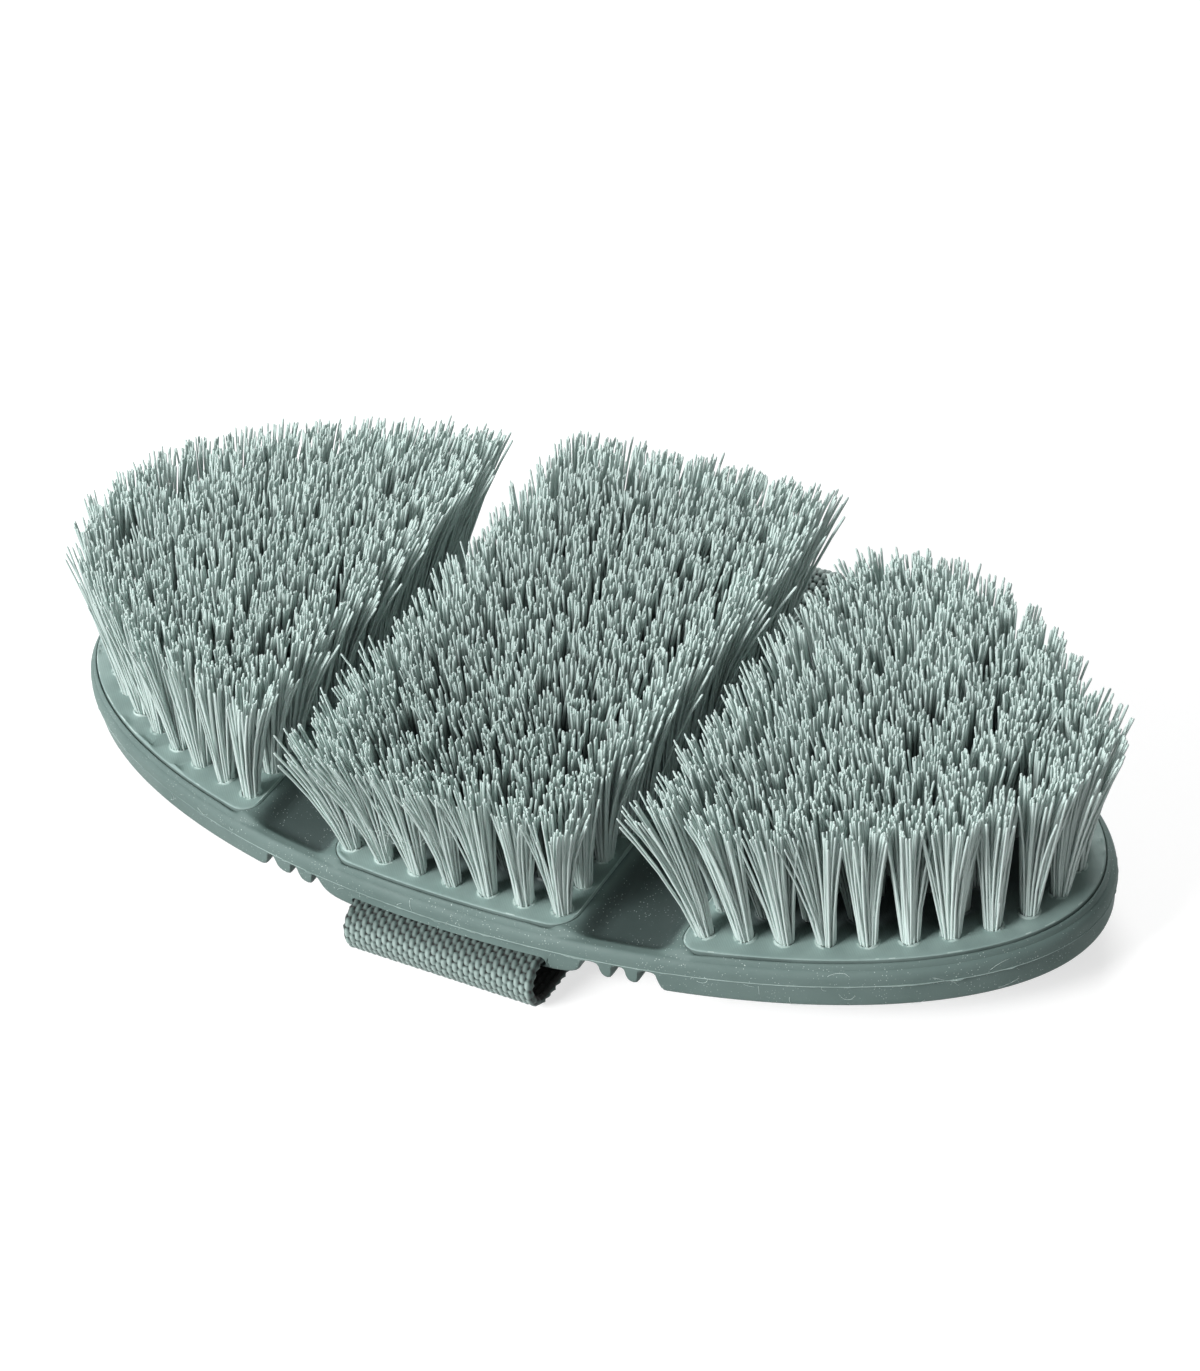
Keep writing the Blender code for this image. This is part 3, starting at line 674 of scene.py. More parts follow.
def buildSkin(side):
    stations = rimStations(side)
    slotEnd = rubber["slotHalf"][side]
    points = []
    faces = []
    paints = []

    def addGrid(grid, skip=None, flip=False, ridge=()):
        base = len(points)
        height = len(grid)
        width = len(grid[0])
        for row in grid:
            points.extend(row)
        for j in range(height - 1):
            for i in range(width - 1):
                if skip is not None and skip(j, i):
                    continue
                corners = [base + j * width + i, base + j * width + i + 1,
                           base + (j + 1) * width + i + 1, base + (j + 1) * width + i]
                faces.append(corners[::-1] if flip else corners)
                paints.append(1 if i in ridge else 0)

    slotBottomRow, slotTopRow = slotRows
    slotMiddle = (rubber["slotTop"] + rubber["slotBottom"]) / 2
    slotHalfHeight = (rubber["slotTop"] - rubber["slotBottom"]) / 2
    corner = rubber["slotCorner"]
    middleEnd = body["middleHalf"] - body["plateCorner"]
    wingBegin = body["wingStart"] + body["plateCorner"]

    for near in (-1, 1):
        ring = []
        slotEdges = []
        for x in stations:
            y0 = near * float(ovalHalf(x, 0.0))
            ground = float(undersideAt(x, side))
            rows = rimSection(side * x, y0, ground)
            if x <= slotEnd + 0.01:
                over = max(0.0, x - (slotEnd - corner)) / corner
                openHalf = slotHalfHeight * math.sqrt(max(0.0, 1.0 - over * over))
                for row, sign in ((slotBottomRow, -1), (slotTopRow, 1)):
                    inset, _ = rows[row]
                    rows[row] = (inset - rubber["slotLip"], slotMiddle + sign * openHalf)
                slotEdges.append((x, rows[slotBottomRow], rows[slotTopRow]))
            line = []
            for inset, z in rows:
                across, deep = stationPoint(x, inset)
                line.append((side * float(across), near * float(deep), z))
            insets = np.array(lipInsets)
            across, deep = stationPoint(x, insets)
            heights = rimHeight(across, insets, plateEdge(across, deep))
            line += [(side * a, near * d, z) for a, d, z in zip(across, deep, heights)]
            ring.append(line)
        slotCount = len(slotEdges)

        def inSlot(j, i):
            return j < slotCount - 1 and slotBottomRow <= i < slotTopRow

        addGrid(ring, inSlot, flip=(side * near > 0), ridge=flashRows)
        for which, sign in ((1, 1), (2, -1)):   # floor and roof of the slot, in under the block
            tunnel = []
            for edge in slotEdges:
                inset, z = edge[which]
                line = []
                for deeper in (0.0, rubber["tunnelStep"], rubber["slotDepth"]):
                    tuck = rubber["slotTaper"] * sign * (deeper > 0.0)
                    across, deep = stationPoint(edge[0], inset + deeper)
                    line.append((side * float(across), near * float(deep), z - tuck))
                tunnel.append(line)
            addGrid(tunnel, flip=(side * near * sign < 0))
        # Inner wall of the pocket that seats the plate
        wall = []
        for line in ring:
            x, y, z = line[-1]
            wall.append([(x, y, z), (x, y, z - rubber["pocketStep"]),
                         (x, y, z - rubber["pocketDepth"])])

        def overChannel(j, _):
            return middleEnd < stations[j] < wingBegin

        addGrid(wall, overChannel, flip=(side * near > 0))

    inChannel = [x for x in stations if middleEnd - 0.7 < x < wingBegin + 0.8]
    for near in (-1, 1):
        rows, gone = channelFloor(side, near, inChannel)
        addGrid(rows, lambda j, i: gone[j, i], flip=(side * near > 0))

    # Underside, drawn straight across
    acrossSteps = rubber["acrossSteps"]
    grid = []
    for x in stations:
        ground = float(undersideAt(x, side))
        inset, z = rimSection(side * x, 0.0, ground)[0]
        across, deep = stationPoint(x, inset)
        grid.append([(side * float(across), float(deep) * (1.0 - 2.0 * step / acrossSteps), z)
                     for step in range(acrossSteps + 1)])
    addGrid(grid, flip=(side < 0))

    name = "rubberSkinRight" if side > 0 else "rubberSkinLeft"
    made = makePiece(name, points, faces, [rubberPaint, flashPaint], paints)
    weldSkin(made.data)
    keepRestPlace(made.data)
    return made


skinRight = buildSkin(1)
skinLeft = buildSkin(-1)
for skin, wing, sign in ((skinRight, "right", 1), (skinLeft, "left", -1)):
    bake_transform(skin)
    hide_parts("rubber_middle", f"rubber_{wing}", f"flex_band_{wing}")
print("rubber skin made", len(skinRight.data.polygons), len(skinLeft.data.polygons))


tufts = {
    "rowPitch": 7.3,
    "ringPitch": 6.7,
    "middleInset": 5.8,
    "wingInset": 6.6,
    "sideMargin": 3.3,
    "middleSpread": (1.16, 1.17),
    "wingSpread": {1: (1.11, 1.13), -1: (1.14, 1.17)},
    "wingShift": -1.2,
    "innerReach": {1: 3.2, -1: 0.6},    # how far the row beside the channel leans over it
    "farForward": 8.0,      # how far the right wing's far inner corner leans to the front
    "endForward": 4.4,      # and its far outer end
    "middleLean": (2.2, 2.1),
    "wingLean": {1: (2.2, 2.1), -1: (1.3, 3.4)},
    "besideChannel": (46.0, 58.0),      # x over which the lean over the channel fades
    "nearHalf": (8.0, 32.0),            # and y
    "farCorner": (14.0, 34.0),
    "outerEnd": (64.0, 86.0),           # x over which the far outer end starts to lean
    "outerFar": (0.0, 18.0),            # and y
    "scatter": 0.5,
    "innerRing": 0.95,      # first inner column, in ring pitches from the row at the edge
    "edgeSamples": 960,
}


def spaced(low, high, pitch):
    steps = max(1, round((high - low) / pitch))
    return [low + (high - low) * step / steps for step in range(steps + 1)]


def middleFeet():
    reach = body["middleHalf"] - tufts["sideMargin"]
    inset = tufts["middleInset"]
    shares = spaced(-1.0, 1.0, tufts["rowPitch"] / float(ovalHalf(0.0, inset)))
    return [(x, share * float(ovalHalf(x, inset)))
            for x in spaced(-reach, reach, tufts["rowPitch"]) for share in shares]


# One row follows the oval edge, and columns fill the inside
def wingFeet():
    pitch = tufts["ringPitch"]
    inset = tufts["wingInset"]
    firstX = body["wingStart"] + tufts["sideMargin"]
    start = math.acos(firstX / (body["halfLength"] - inset))
    turns = np.linspace(start, -start, tufts["edgeSamples"] + 1)
    edge = np.stack([(body["halfLength"] - inset) * np.cos(turns),
                     (body["halfWidth"] - inset) * np.sin(turns)], axis=1)
    run = np.concatenate([[0.0], np.cumsum(np.hypot(*np.diff(edge, axis=0).T))])
    feet = [tuple(edge[min(int(np.searchsorted(run, spot)), tufts["edgeSamples"])])
            for spot in spaced(0.0, run[-1], pitch)]
    columnY = float(ovalHalf(firstX, inset))
    feet += [(firstX, y) for y in spaced(-columnY, columnY, pitch)[1:-1]]
    inner = inset + tufts["innerRing"] * pitch
    for x in spaced(firstX, body["halfLength"] - inner, pitch)[1:]:
        reach = float(ovalHalf(x, inner))
        if reach < 0.25 * pitch:
            feet.append((x, 0.0))
        else:
            feet += [(x, y) for y in spaced(-reach, reach, pitch)]
    return feet


feetBySide = {0: middleFeet()}
feetBySide[1] = wingFeet()
feetBySide[-1] = [(-x, y) for x, y in feetBySide[1]]
bodyBySide = {0: "middle", 1: "right_wing", -1: "left_wing"}
wordBySide = {0: "middle", 1: "right", -1: "left"}


plate = {
    "top": 4.42,
    "bottom": -0.9,
    "holeRadius": 1.60,
    "holeFoot": 1.56,
    "collarRadius": 2.30,
    "collarRise": 0.34,
    "holeDepth": 1.3,
    "thickBurr": 0.12,      # a collar higher than this takes the pale colour
    "collarChange": 0.05,
    "collarRagged": 1.8,
    "facingSpread": 7.0,
    "facingBack": 1.6,
    "collarReach": 0.985,       # faces whose middle is nearer to a hole, in collar radii, go
    "tornRows": (0.2, 0.6),     # insets between which the torn flash stands
    "tornPatches": 0.30,
    "tornMost": 0.40,       # highest that the torn flash stands
    "cutFlash": 0.13,       # least height of the flash along the straight edges
    "cutReach": 0.6,
    "paintedShadeReach": (4.5, 10.0),      # painted shade starts this far in from the edge, and is full here
    "outlinePoints": 360,
    "holePoints": 18,
    "wingMiddle": 70.0,     # x from which a wing plate's outline is searched, along rays
    "searchReach": 70.0,
    "mergeReach": 0.002,
    "halvings": 24,
    "sharpAngle": 40,
}
# Outline rows of a plate: distance in from its edge, and height
plateRows = [(0.0, plate["bottom"]), (0.0, 1.2), (0.02, 3.0), (0.05, 3.9), (0.11, 4.24),
             (0.20, 4.36), (0.34, 4.41), (0.52, 4.43), (0.95, plate["top"])]
creaseShadeRows = 4        # the lowest bands are painted shade, a dark line in the crease between plate and rubber
tornRow = 5
lipRow = 6
# Rows of the burr around a hole: radius, and share of the collar's rise
collar = [(2.04, 0.3), (1.80, 1.0), (plate["holeRadius"], 0.7)]


# Loop around a plate at a distance in from its edge, found along rays from its middle
def plateLoop(side, inward):
    middleX = side * plate["wingMiddle"]
    turns = np.linspace(0.0, 2.0 * math.pi, plate["outlinePoints"], endpoint=False)
    low = np.zeros(len(turns))
    high = np.full(len(turns), plate["searchReach"])
    for _ in range(plate["halvings"]):
        middle = (low + high) / 2
        x = middleX + middle * np.cos(turns)
        y = middle * np.sin(turns)
        inside = plateEdge(x, y, side) < -inward
        low = np.where(inside, middle, low)
        high = np.where(inside, high, middle)
    return np.stack([middleX + low * np.cos(turns), low * np.sin(turns)], axis=1)


# True along the straight edges that face a channel
def onCut(x):
    gap = min(abs(abs(x) - body["middleHalf"]), abs(abs(x) - body["wingStart"]))
    return gap < plate["cutReach"]


def buildPlate(side):
    points = []
    faces = []
    paints = []
    count = plate["outlinePoints"]
    for inward, z in plateRows:
        for x, y in plateLoop(side, inward):
            torn = 0.0
            if plate["tornRows"][0] < inward < plate["tornRows"][1]:    # along the moulded edge
                torn = max(0.0, unevenAt(x, y, 0.0, scale=0.16, seed=5.0 + side) - 0.25) * 1.8
                torn *= 0.5 + 1.2 * abs(unevenAt(x, y, 0.0, scale=1.7, seed=2.0))
                torn = min(torn, plate["tornMost"])
                torn = max(torn, plate["cutFlash"] if onCut(x) else 0.0)
            points.append((x, y, z + torn))
    bands = [list(range(row * count, (row + 1) * count)) for row in range(len(plateRows))]
    faces += joinRows(bands, True)
    for row, band in enumerate(bands[:-1]):
        for x, y, _ in (points[i] for i in band):
            torn = unevenAt(x, y, 0.0, scale=0.5, seed=7.0) > plate["tornPatches"]
            # the lowest bands take the painted shade of the crease
            if row < creaseShadeRows:
                paints.append(2)
            else:
                paints.append(1 if row == lipRow and onCut(x) or row == tornRow and torn else 0)
    faces.append(bands[0][::-1])
    paints.append(0)

    flat = [Vector(points[i][:2]) for i in bands[-1]]
    edges = [(i, (i + 1) % count) for i in range(count)]
    ring = plate["holePoints"]
    turns = [2.0 * math.pi * k / ring for k in range(ring)]
    loops = []
    for x, y in feetBySide[side]:
        first = len(flat)
        for k, turn in enumerate(turns):
            change = plate["collarChange"] * unevenAt(x, y, k, scale=0.7, seed=4.0)
            radius = plate["collarRadius"] * (1.0 + change)
            flat.append(Vector((x + radius * math.cos(turn), y + radius * math.sin(turn))))
            edges.append((first + k, first + (k + 1) % ring))
        loops.append((first, x, y))
    spots, _, triangles, origins = delaunay_2d_cdt(flat, edges, [], 1, 1e-5)[:4]
    index = {}
    for spot, sources in enumerate(origins):
        for source in sources:
            index[source] = spot
    numbers = list(range(len(points), len(points) + len(spots)))
    points += [(spot.x, spot.y, plate["top"]) for spot in spots]
    centres = np.array(feetBySide[side])
    for corners in triangles:
        middle = sum((spots[i] for i in corners), Vector((0.0, 0.0))) / len(corners)
        away = np.hypot(centres[:, 0] - middle.x, centres[:, 1] - middle.y).min()
        if away > plate["collarRadius"] * plate["collarReach"]:
            faces.append([numbers[i] for i in corners])
            paints.append(0)
    # Collar of burr around each hole, and the hole itself
    for first, x, y in loops:
        # side where the burr is thick
        facing = plate["facingSpread"] * unevenAt(x, y, 0.0, scale=0.9, seed=11.0)
        facing -= plate["facingBack"]
        lifts = []
        rows = [[numbers[index[first + k]] for k in range(ring)]]
        for radius, rise in collar:
            row = []
            for turn in turns:
                uneven = unevenAt(x + math.cos(turn) * 2, y + math.sin(turn) * 2, radius,
                                  scale=0.9, seed=6.0)
                ragged = 0.50 + 0.50 * math.cos(turn - facing) + plate["collarRagged"] * uneven
                lift = plate["collarRise"] * rise * max(0.0, ragged)
                lifts.append(lift)
                row.append(len(points))
                points.append((x + radius * math.cos(turn), y + radius * math.sin(turn),
                               plate["top"] + lift))
            rows.append(row)
        rows.append(list(range(len(points), len(points) + ring)))
        points += [(x + plate["holeFoot"] * math.cos(turn),
                    y + plate["holeFoot"] * math.sin(turn),
                    plate["top"] - plate["holeDepth"]) for turn in turns]
        faces += joinRows(rows, True)
        thick = [1 if lift > plate["thickBurr"] else 0 for lift in lifts[ring:2 * ring]]
        paints += [0] * ring + thick + thick + [0] * ring
        faces.append(rows[-1])
        paints.append(0)
    made = makePiece(f"plate{wordBySide[side].capitalize()}", points, faces,
                     [platePaint, burrPaint, creaseShadePaint], paints)
    bm = bmesh.new()
    bm.from_mesh(made.data)
    bmesh.ops.remove_doubles(bm, verts=bm.verts, dist=plate["mergeReach"] * mm)
    bmesh.ops.recalc_face_normals(bm, faces=bm.faces)
    bm.to_mesh(made.data)
    bm.free()
    made.data.set_sharp_from_angle(angle=math.radians(plate["sharpAngle"]))
    # painted shade on the plate between the tufts, full some way in from its edge
    spots = np.array([(corner.co.x, corner.co.y) for corner in made.data.vertices]) / mm
    inward = -plateEdge(spots[:, 0], spots[:, 1], side)
    writeAttribute(made.data, "paintedShadeAmount", smoothStep(*plate["paintedShadeReach"], inward))
    return made


for side in (-1, 0, 1):
    piece = buildPlate(side)
    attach(piece, bodyBySide[side])
    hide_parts(f"block_{wordBySide[side]}", f"bristles_{wordBySide[side]}")
    print(piece.name, len(piece.data.polygons), "faces")


strands = {
    "seed": 41,
    "perTuft": 58,
    "radius": 0.240,
    "rootRadius": 1.36,
    "clusterRadius": 6.5,
    "length": 28.1,
    "uneven": 0.7,
    "droop": 84.0,      # tips sink by the square of their sideways reach over this
    "hold": 0.27,       # share of the sideways reach that is left at half height
    "wander": 0.42,
    "sides": 4,
    "goldenAngle": 2.399963,
    "clusterChange": (0.84, 1.16),
    "rootWobble": 0.05,
    "rootDepth": 1.0,
    "flare": (0.62, 1.05),
    "locks": 8,
    "lockSpread": 0.50,
    "lockDrop": 0.5,
    "lockPull": (0.18, 0.46),
    "flareScatter": 0.20,
    "tipScatter": 0.30,
    "unevenShape": (1.5, 3.0),
    "strays": 0.06,         # share of the filaments that stand apart
    "strayReach": 1.9,
    "strayDrop": 1.6,
    "thickness": (0.88, 1.12),
    "tipPoint": 0.03,
    "firstTurn": 0.4,
    "neighbourReach": 1.5,      # in row pitches
    "crowded": (5.6, 7.6),      # neighbours of a tuft at the field's edge, and of one inside it
    # shares of the length over which painted shade on an inner tuft gives way towards the tip
    "innerShadeFade": (0.62, 0.97),
    "rootFade": 0.35,
}
# Rings along a filament: share of its length, and share of its radius
strandRings = [(0.0, 1.0), (0.30, 1.0), (0.60, 1.0), (0.84, 1.0), (0.974, 1.0), (0.992, 0.84)]
# Directions that no filament or hair runs along, from which its tube is set out
strandSlant = (0.31, 0.95, 0.0)
hairSlant = (0.36, 0.48, 0.80)


loose = {
    "seed": 70,
    "radius": 0.030,
    "lift": 0.035,
    "step": 0.60,
    "points": 9,
    "onWall": {0: 5, 1: 13, -1: 4},
    "span": {0: (-23.0, 23.0), 1: (43.5, 97.0), -1: (-92.0, -43.5)},
    "wallStart": (-4.4, 2.3),
    "wallLimits": (-4.8, 2.6),
    "wallBend": 0.26,
    "wallStep": (0.25, 1.0),
    "tangle": 9,
    "tangleAt": (-3.4, -47.0, 17.0),
    "tangleReach": 1.1,
    "tangleShape": (2.0, 0.5, 1.0),
    "tanglePoints": 14,
    "tangleBend": 0.45,
    "tangleTurn": (1.0, 0.3, 1.0),
    "tangleStep": 1.1,
    "sides": 3,
}
# Outside of the rim: heights and the insets that belong to them
wallHeights = [-5.2, -0.1, 0.0, 1.15, 1.5, 1.85, 2.18, 2.46, 2.66, 2.78]
wallInsets = [0.60, 0.355, 0.0, 0.03, 0.06, 0.14, 0.28, 0.47, 0.69, 0.92]


# Shed hairs: thin curved ones on the front wall, and a small tangle on the front tufts
def looseHairs(side, part, first):
    chance = np.random.default_rng(loose["seed"] + side)
    paths = []
    low, high = loose["span"][side]
    for _ in range(0 if part > 0 else loose["onWall"][side]):
        x = chance.uniform(low, high)
        z = chance.uniform(*loose["wallStart"])
        turn = chance.uniform(0.0, 2.0 * math.pi)
        bend = chance.normal(0.0, loose["wallBend"])
        step = loose["step"] * chance.uniform(*loose["wallStep"])
        path = []
        for _ in range(loose["points"]):
            inset = float(np.interp(z, wallHeights, wallInsets)) - loose["lift"]
            path.append((x, -float(ovalHalf(x, inset)), z))
            turn += bend
            x = min(max(x + step * math.cos(turn), low), high)
            z = min(max(z + step * math.sin(turn), loose["wallLimits"][0]), loose["wallLimits"][1])
        paths.append(path)
    if part < 0:
        for _ in range(loose["tangle"]):
            away = chance.normal(0.0, loose["tangleReach"], 3) * loose["tangleShape"]
            spot = np.array(loose["tangleAt"]) + away
            heading = chance.normal(0.0, 1.0, 3)
            path = []
            for _ in range(loose["tanglePoints"]):
                path.append(tuple(spot))
                heading = heading / np.linalg.norm(heading)
                heading += chance.normal(0.0, loose["tangleBend"], 3) * loose["tangleTurn"]
                spot = spot + heading * loose["step"] * loose["tangleStep"]
            paths.append(path)
    points = []
    faces = []
    sides = loose["sides"]
    for path in paths:
        line = np.array(path)
        ahead = np.gradient(line, axis=0)
        ahead /= np.linalg.norm(ahead, axis=1, keepdims=True) + 1e-9
        across = np.cross(ahead, hairSlant)
        across /= np.linalg.norm(across, axis=1, keepdims=True) + 1e-9
        square = np.cross(ahead, across)
        rows = []
        for i, spot in enumerate(line):
            base = first + len(points)
            rows.append(list(range(base, base + sides)))
            for turn in (2.0 * math.pi * k / sides for k in range(sides)):
                points.append(spot + loose["radius"] * (math.cos(turn) * across[i]
                                                        + math.sin(turn) * square[i]))
        faces += joinRows(rows, True) + [rows[0][::-1], rows[-1]]
    return np.array(points).reshape(-1, 3), faces


# Where the middle of each tuft's tips lies
def aimTufts(side, feet, chance):
    middleX = side * (body["wingStart"] + body["halfLength"] - body["plateInset"]) / 2
    spread = tufts["middleSpread"] if side == 0 else tufts["wingSpread"][side]
    aim = np.empty((len(feet), 2))
    aim[:, 0] = middleX + (feet[:, 0] - middleX) * spread[0] + side * tufts["wingShift"]
    aim[:, 1] = feet[:, 1] * spread[1]
    if side != 0:
        beside = 1.0 - smoothStep(*tufts["besideChannel"], np.abs(feet[:, 0]))
        near = 1.0 - smoothStep(*tufts["nearHalf"], feet[:, 1])
        aim[:, 0] -= side * tufts["innerReach"][side] * beside * near
    if side == 1:
        corner = smoothStep(*tufts["farCorner"], feet[:, 1])
        aim[:, 1] -= tufts["farForward"] * beside * corner
        outer = smoothStep(*tufts["outerEnd"], feet[:, 0])
        aim[:, 1] -= tufts["endForward"] * (outer * smoothStep(*tufts["outerFar"], feet[:, 1]))
    lean = tufts["middleLean"] if side == 0 else tufts["wingLean"][side]
    return aim + (np.array(lean) + chance.normal(0.0, tufts["scatter"], aim.shape))


# Roots and tips of the filaments, and a tint for each tuft
def growTufts(feet, aim, chance):
    count = len(feet)
    per = strands["perTuft"]
    clusterSize = strands["clusterRadius"] * chance.uniform(*strands["clusterChange"], count)
    tuftTint = chance.uniform(0.0, 1.0, count)
    twist = chance.uniform(0.0, 2.0 * math.pi, count)
    roots = np.empty((count, per, 3))
    tips = np.empty((count, per, 3))
    order = np.arange(per)
    out = np.sqrt((order + 0.5) / per)
    for number in range(count):
        turn = order * strands["goldenAngle"] + twist[number]
        wobble = chance.normal(0.0, strands["rootWobble"], (per, 2))
        ray = np.stack([np.cos(turn), np.sin(turn)], axis=1) * out[:, None]
        roots[number, :, :2] = feet[number] + strands["rootRadius"] * ray + wobble
        roots[number, :, 2] = plate["top"] - strands["rootDepth"]
        flare = ray * clusterSize[number] * chance.uniform(*strands["flare"], (per, 1))
        # tips gather in small locks
        locks = chance.normal(0.0, 1.0, (strands["locks"], 2))
        locks = locks * clusterSize[number] * strands["lockSpread"]
        lockHeight = chance.uniform(-strands["lockDrop"], 0.0, strands["locks"])
        pull = chance.uniform(*strands["lockPull"], (per, 1))
        nearest = np.argmin(np.linalg.norm(flare[:, None, :] - locks[None], axis=2), axis=1)
        flare = flare * (1.0 - pull) + locks[nearest] * pull
        flare += chance.normal(0.0, strands["flareScatter"], (per, 2))
        scatter = chance.normal(0.0, strands["tipScatter"], (per, 2))
        tips[number, :, :2] = aim[number] + flare + scatter
        reach = np.hypot(*(tips[number, :, :2] - roots[number, :, :2]).T)
        tips[number, :, 2] = (plate["top"] + strands["length"] - reach ** 2 / strands["droop"]
                              + lockHeight[nearest]
                              - strands["uneven"] * chance.beta(*strands["unevenShape"], per))
        stray = chance.uniform(size=per) < strands["strays"]
        strays = int(stray.sum())
        tips[number, stray, :2] += chance.normal(0.0, strands["strayReach"], (strays, 2))
        tips[number, stray, 2] -= chance.uniform(0.0, strands["strayDrop"], strays)
    return roots.reshape(-1, 3), tips.reshape(-1, 3), tuftTint


# Points of a tapered tube for each filament: rings from root to tip, then the tip's point
def strandTubes(roots, tips, chance):
    total = len(roots)
    sideways = chance.normal(0.0, strands["wander"], (total, 2))
    middle = (roots + tips) / 2
    middle[:, :2] = roots[:, :2] + (tips - roots)[:, :2] * strands["hold"] + sideways
    shares = np.array([ring[0] for ring in strandRings])[None, :, None]
    path = ((1.0 - shares) ** 2 * roots[:, None] + 2.0 * (1.0 - shares) * shares * middle[:, None]
            + shares ** 2 * tips[:, None])
    heading = np.gradient(path, axis=1)
    heading /= np.linalg.norm(heading, axis=2, keepdims=True)
    first = np.cross(heading, np.array(strandSlant))
    first /= np.linalg.norm(first, axis=2, keepdims=True)
    second = np.cross(heading, first)
    sides = strands["sides"]
    turns = 2.0 * math.pi * np.arange(sides) / sides + strands["firstTurn"]
    thick = strands["radius"] * chance.uniform(*strands["thickness"], total)
    width = np.array([ring[1] for ring in strandRings])[None, :, None, None]
    width = width * thick[:, None, None, None]
    around = (np.cos(turns)[None, None, :, None] * first[:, :, None]
              + np.sin(turns)[None, None, :, None] * second[:, :, None])
    rings = (path[:, :, None] + width * around).reshape(total, len(strandRings) * sides, 3)
    points = tips + heading[:, -1] * strands["tipPoint"]
    return np.concatenate([rings, points[:, None]], axis=1)


def buildFilaments(side, part):
    chance = np.random.default_rng(strands["seed"] + side + 7 * part)
    field = np.array(feetBySide[side])
    feet = field[field[:, 1] * part >= -1e-6] if part else field
    roots, tips, tuftTint = growTufts(feet, aimTufts(side, feet, chance), chance)
    tubes = strandTubes(roots, tips, chance)
    total, block, _ = tubes.shape
    per, sides, rings = strands["perTuft"], strands["sides"], len(strandRings)
    rows = np.arange(rings * sides).reshape(rings, sides).tolist()
    quads = joinRows(rows, True)
    caps = [[rows[-1][k], rows[-1][(k + 1) % sides], rings * sides] for k in range(sides)]
    bases = (np.arange(total) * block)[:, None, None]
    quadFaces = (np.array(quads)[None] + bases).reshape(-1, 4)
    capFaces = (np.array(caps)[None] + bases).reshape(-1, 3)
    quadPaint = np.tile(np.repeat([0] * (rings - 2) + [1], sides), total)    # pale near the tip
    hairs, hairFaces = looseHairs(side, part, total * block)
    points = np.concatenate([tubes.reshape(-1, 3), hairs])
    faces = quadFaces.tolist() + capFaces.tolist() + hairFaces
    paints = np.ones(len(faces), dtype=int)
    paints[:len(quadPaint)] = quadPaint
    word = wordBySide[side].capitalize() + {0: "", -1: "Near", 1: "Far"}[part]
    made = makePiece(f"filaments{word}", points, faces, [shaftPaint, tipPaint], paints)
    perPoint = np.repeat([ring[0] for ring in strandRings] + [1.0], [sides] * rings + [1])
    perPoint = perPoint.astype(np.float32)[None, :]
    # lower half of the colour scale for the tufts inside a field, with painted shade towards the
    # root, upper half for the outer ones, a little lighter towards the root
    gaps = np.hypot(feet[:, None, 0] - field[None, :, 0], feet[:, None, 1] - field[None, :, 1])
    neighbours = np.sum(gaps < strands["neighbourReach"] * tufts["rowPitch"], axis=1) - 1.0
    inside = smoothStep(*strands["crowded"], neighbours).repeat(per)[:, None]
    scale = 0.5 * smoothStep(*strands["innerShadeFade"], perPoint) * inside
    scale = scale + (1.0 - strands["rootFade"] * perPoint) * (1.0 - inside)
    tint = np.repeat(tuftTint, per) * 0.5 + chance.uniform(0.0, 0.5, total)
    for label, values in (("along", scale.ravel()), ("tint", np.repeat(tint, block))):
        writeAttribute(made.data, label, np.concatenate([values, np.ones(len(hairs))]))
    return made


for side, part in ((-1, 0), (0, -1), (0, 1), (1, 0)):
    piece = buildFilaments(side, part)
    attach(piece, bodyBySide[side])
    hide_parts(f"bristles_{wordBySide[side]}")
    print(piece.name, len(piece.data.polygons), "faces")


strap = {
    "halfWidth": 18.8,
    "offCentre": 0.45,
    "thickness": 1.8,
    "yarns": 34,
    "stitchLength": 1.72,
    "raise": 0.62,
    "innerShade": 0.16,     # painted shade: share of the weave's paleness that is left inside the loops
    "tuckedShade": 0.42,    # painted shadow: share of it that is lost where the near loop tucks under the body
    "askew": 2.4,
    "askewReach": 9.0,
    "innerHeight": 9.9,     # inside the body, and where it leaves the slots
    "exitHeight": 9.1,
    "insideStops": (21.8, 8.8, 3.8),    # its corners inside the body, from the oval's edge
    "outside": 0.8,
    "riseRadius": 12.0,
    "riseAngle": 17,
    "riseLength": 11.6,
    "farFold": 2.0,
    "farDown": 26.0,
    "farTurn": 173,         # degrees that the far fold turns through
    "downSteps": 24,
    "downPower": 1.8,
    "nearOut": 1.0,
    "smoothing": 4,         # samples on each side that the path is smoothed over
    "stitchLean": 0.26,
    "yarnRound": (2.2, 0.50),       # power and depth of a yarn's rounding
    "stitchRound": (4.5, 0.62, 0.38),       # the same for a stitch, and extra depth at its sides
    "weavePower": 0.85,
    "rimShare": 0.3,
    "rimSink": 0.75,
    "tuckedHeight": (6.4, 9.6),
    "innerRelief": 0.9,
    "threadLoop": 0.20,
    "threadRagged": 0.30,
    "threadBulge": 1.3,
    "samplesPerYarn": 6,
    "samplesAlong": 7,
}


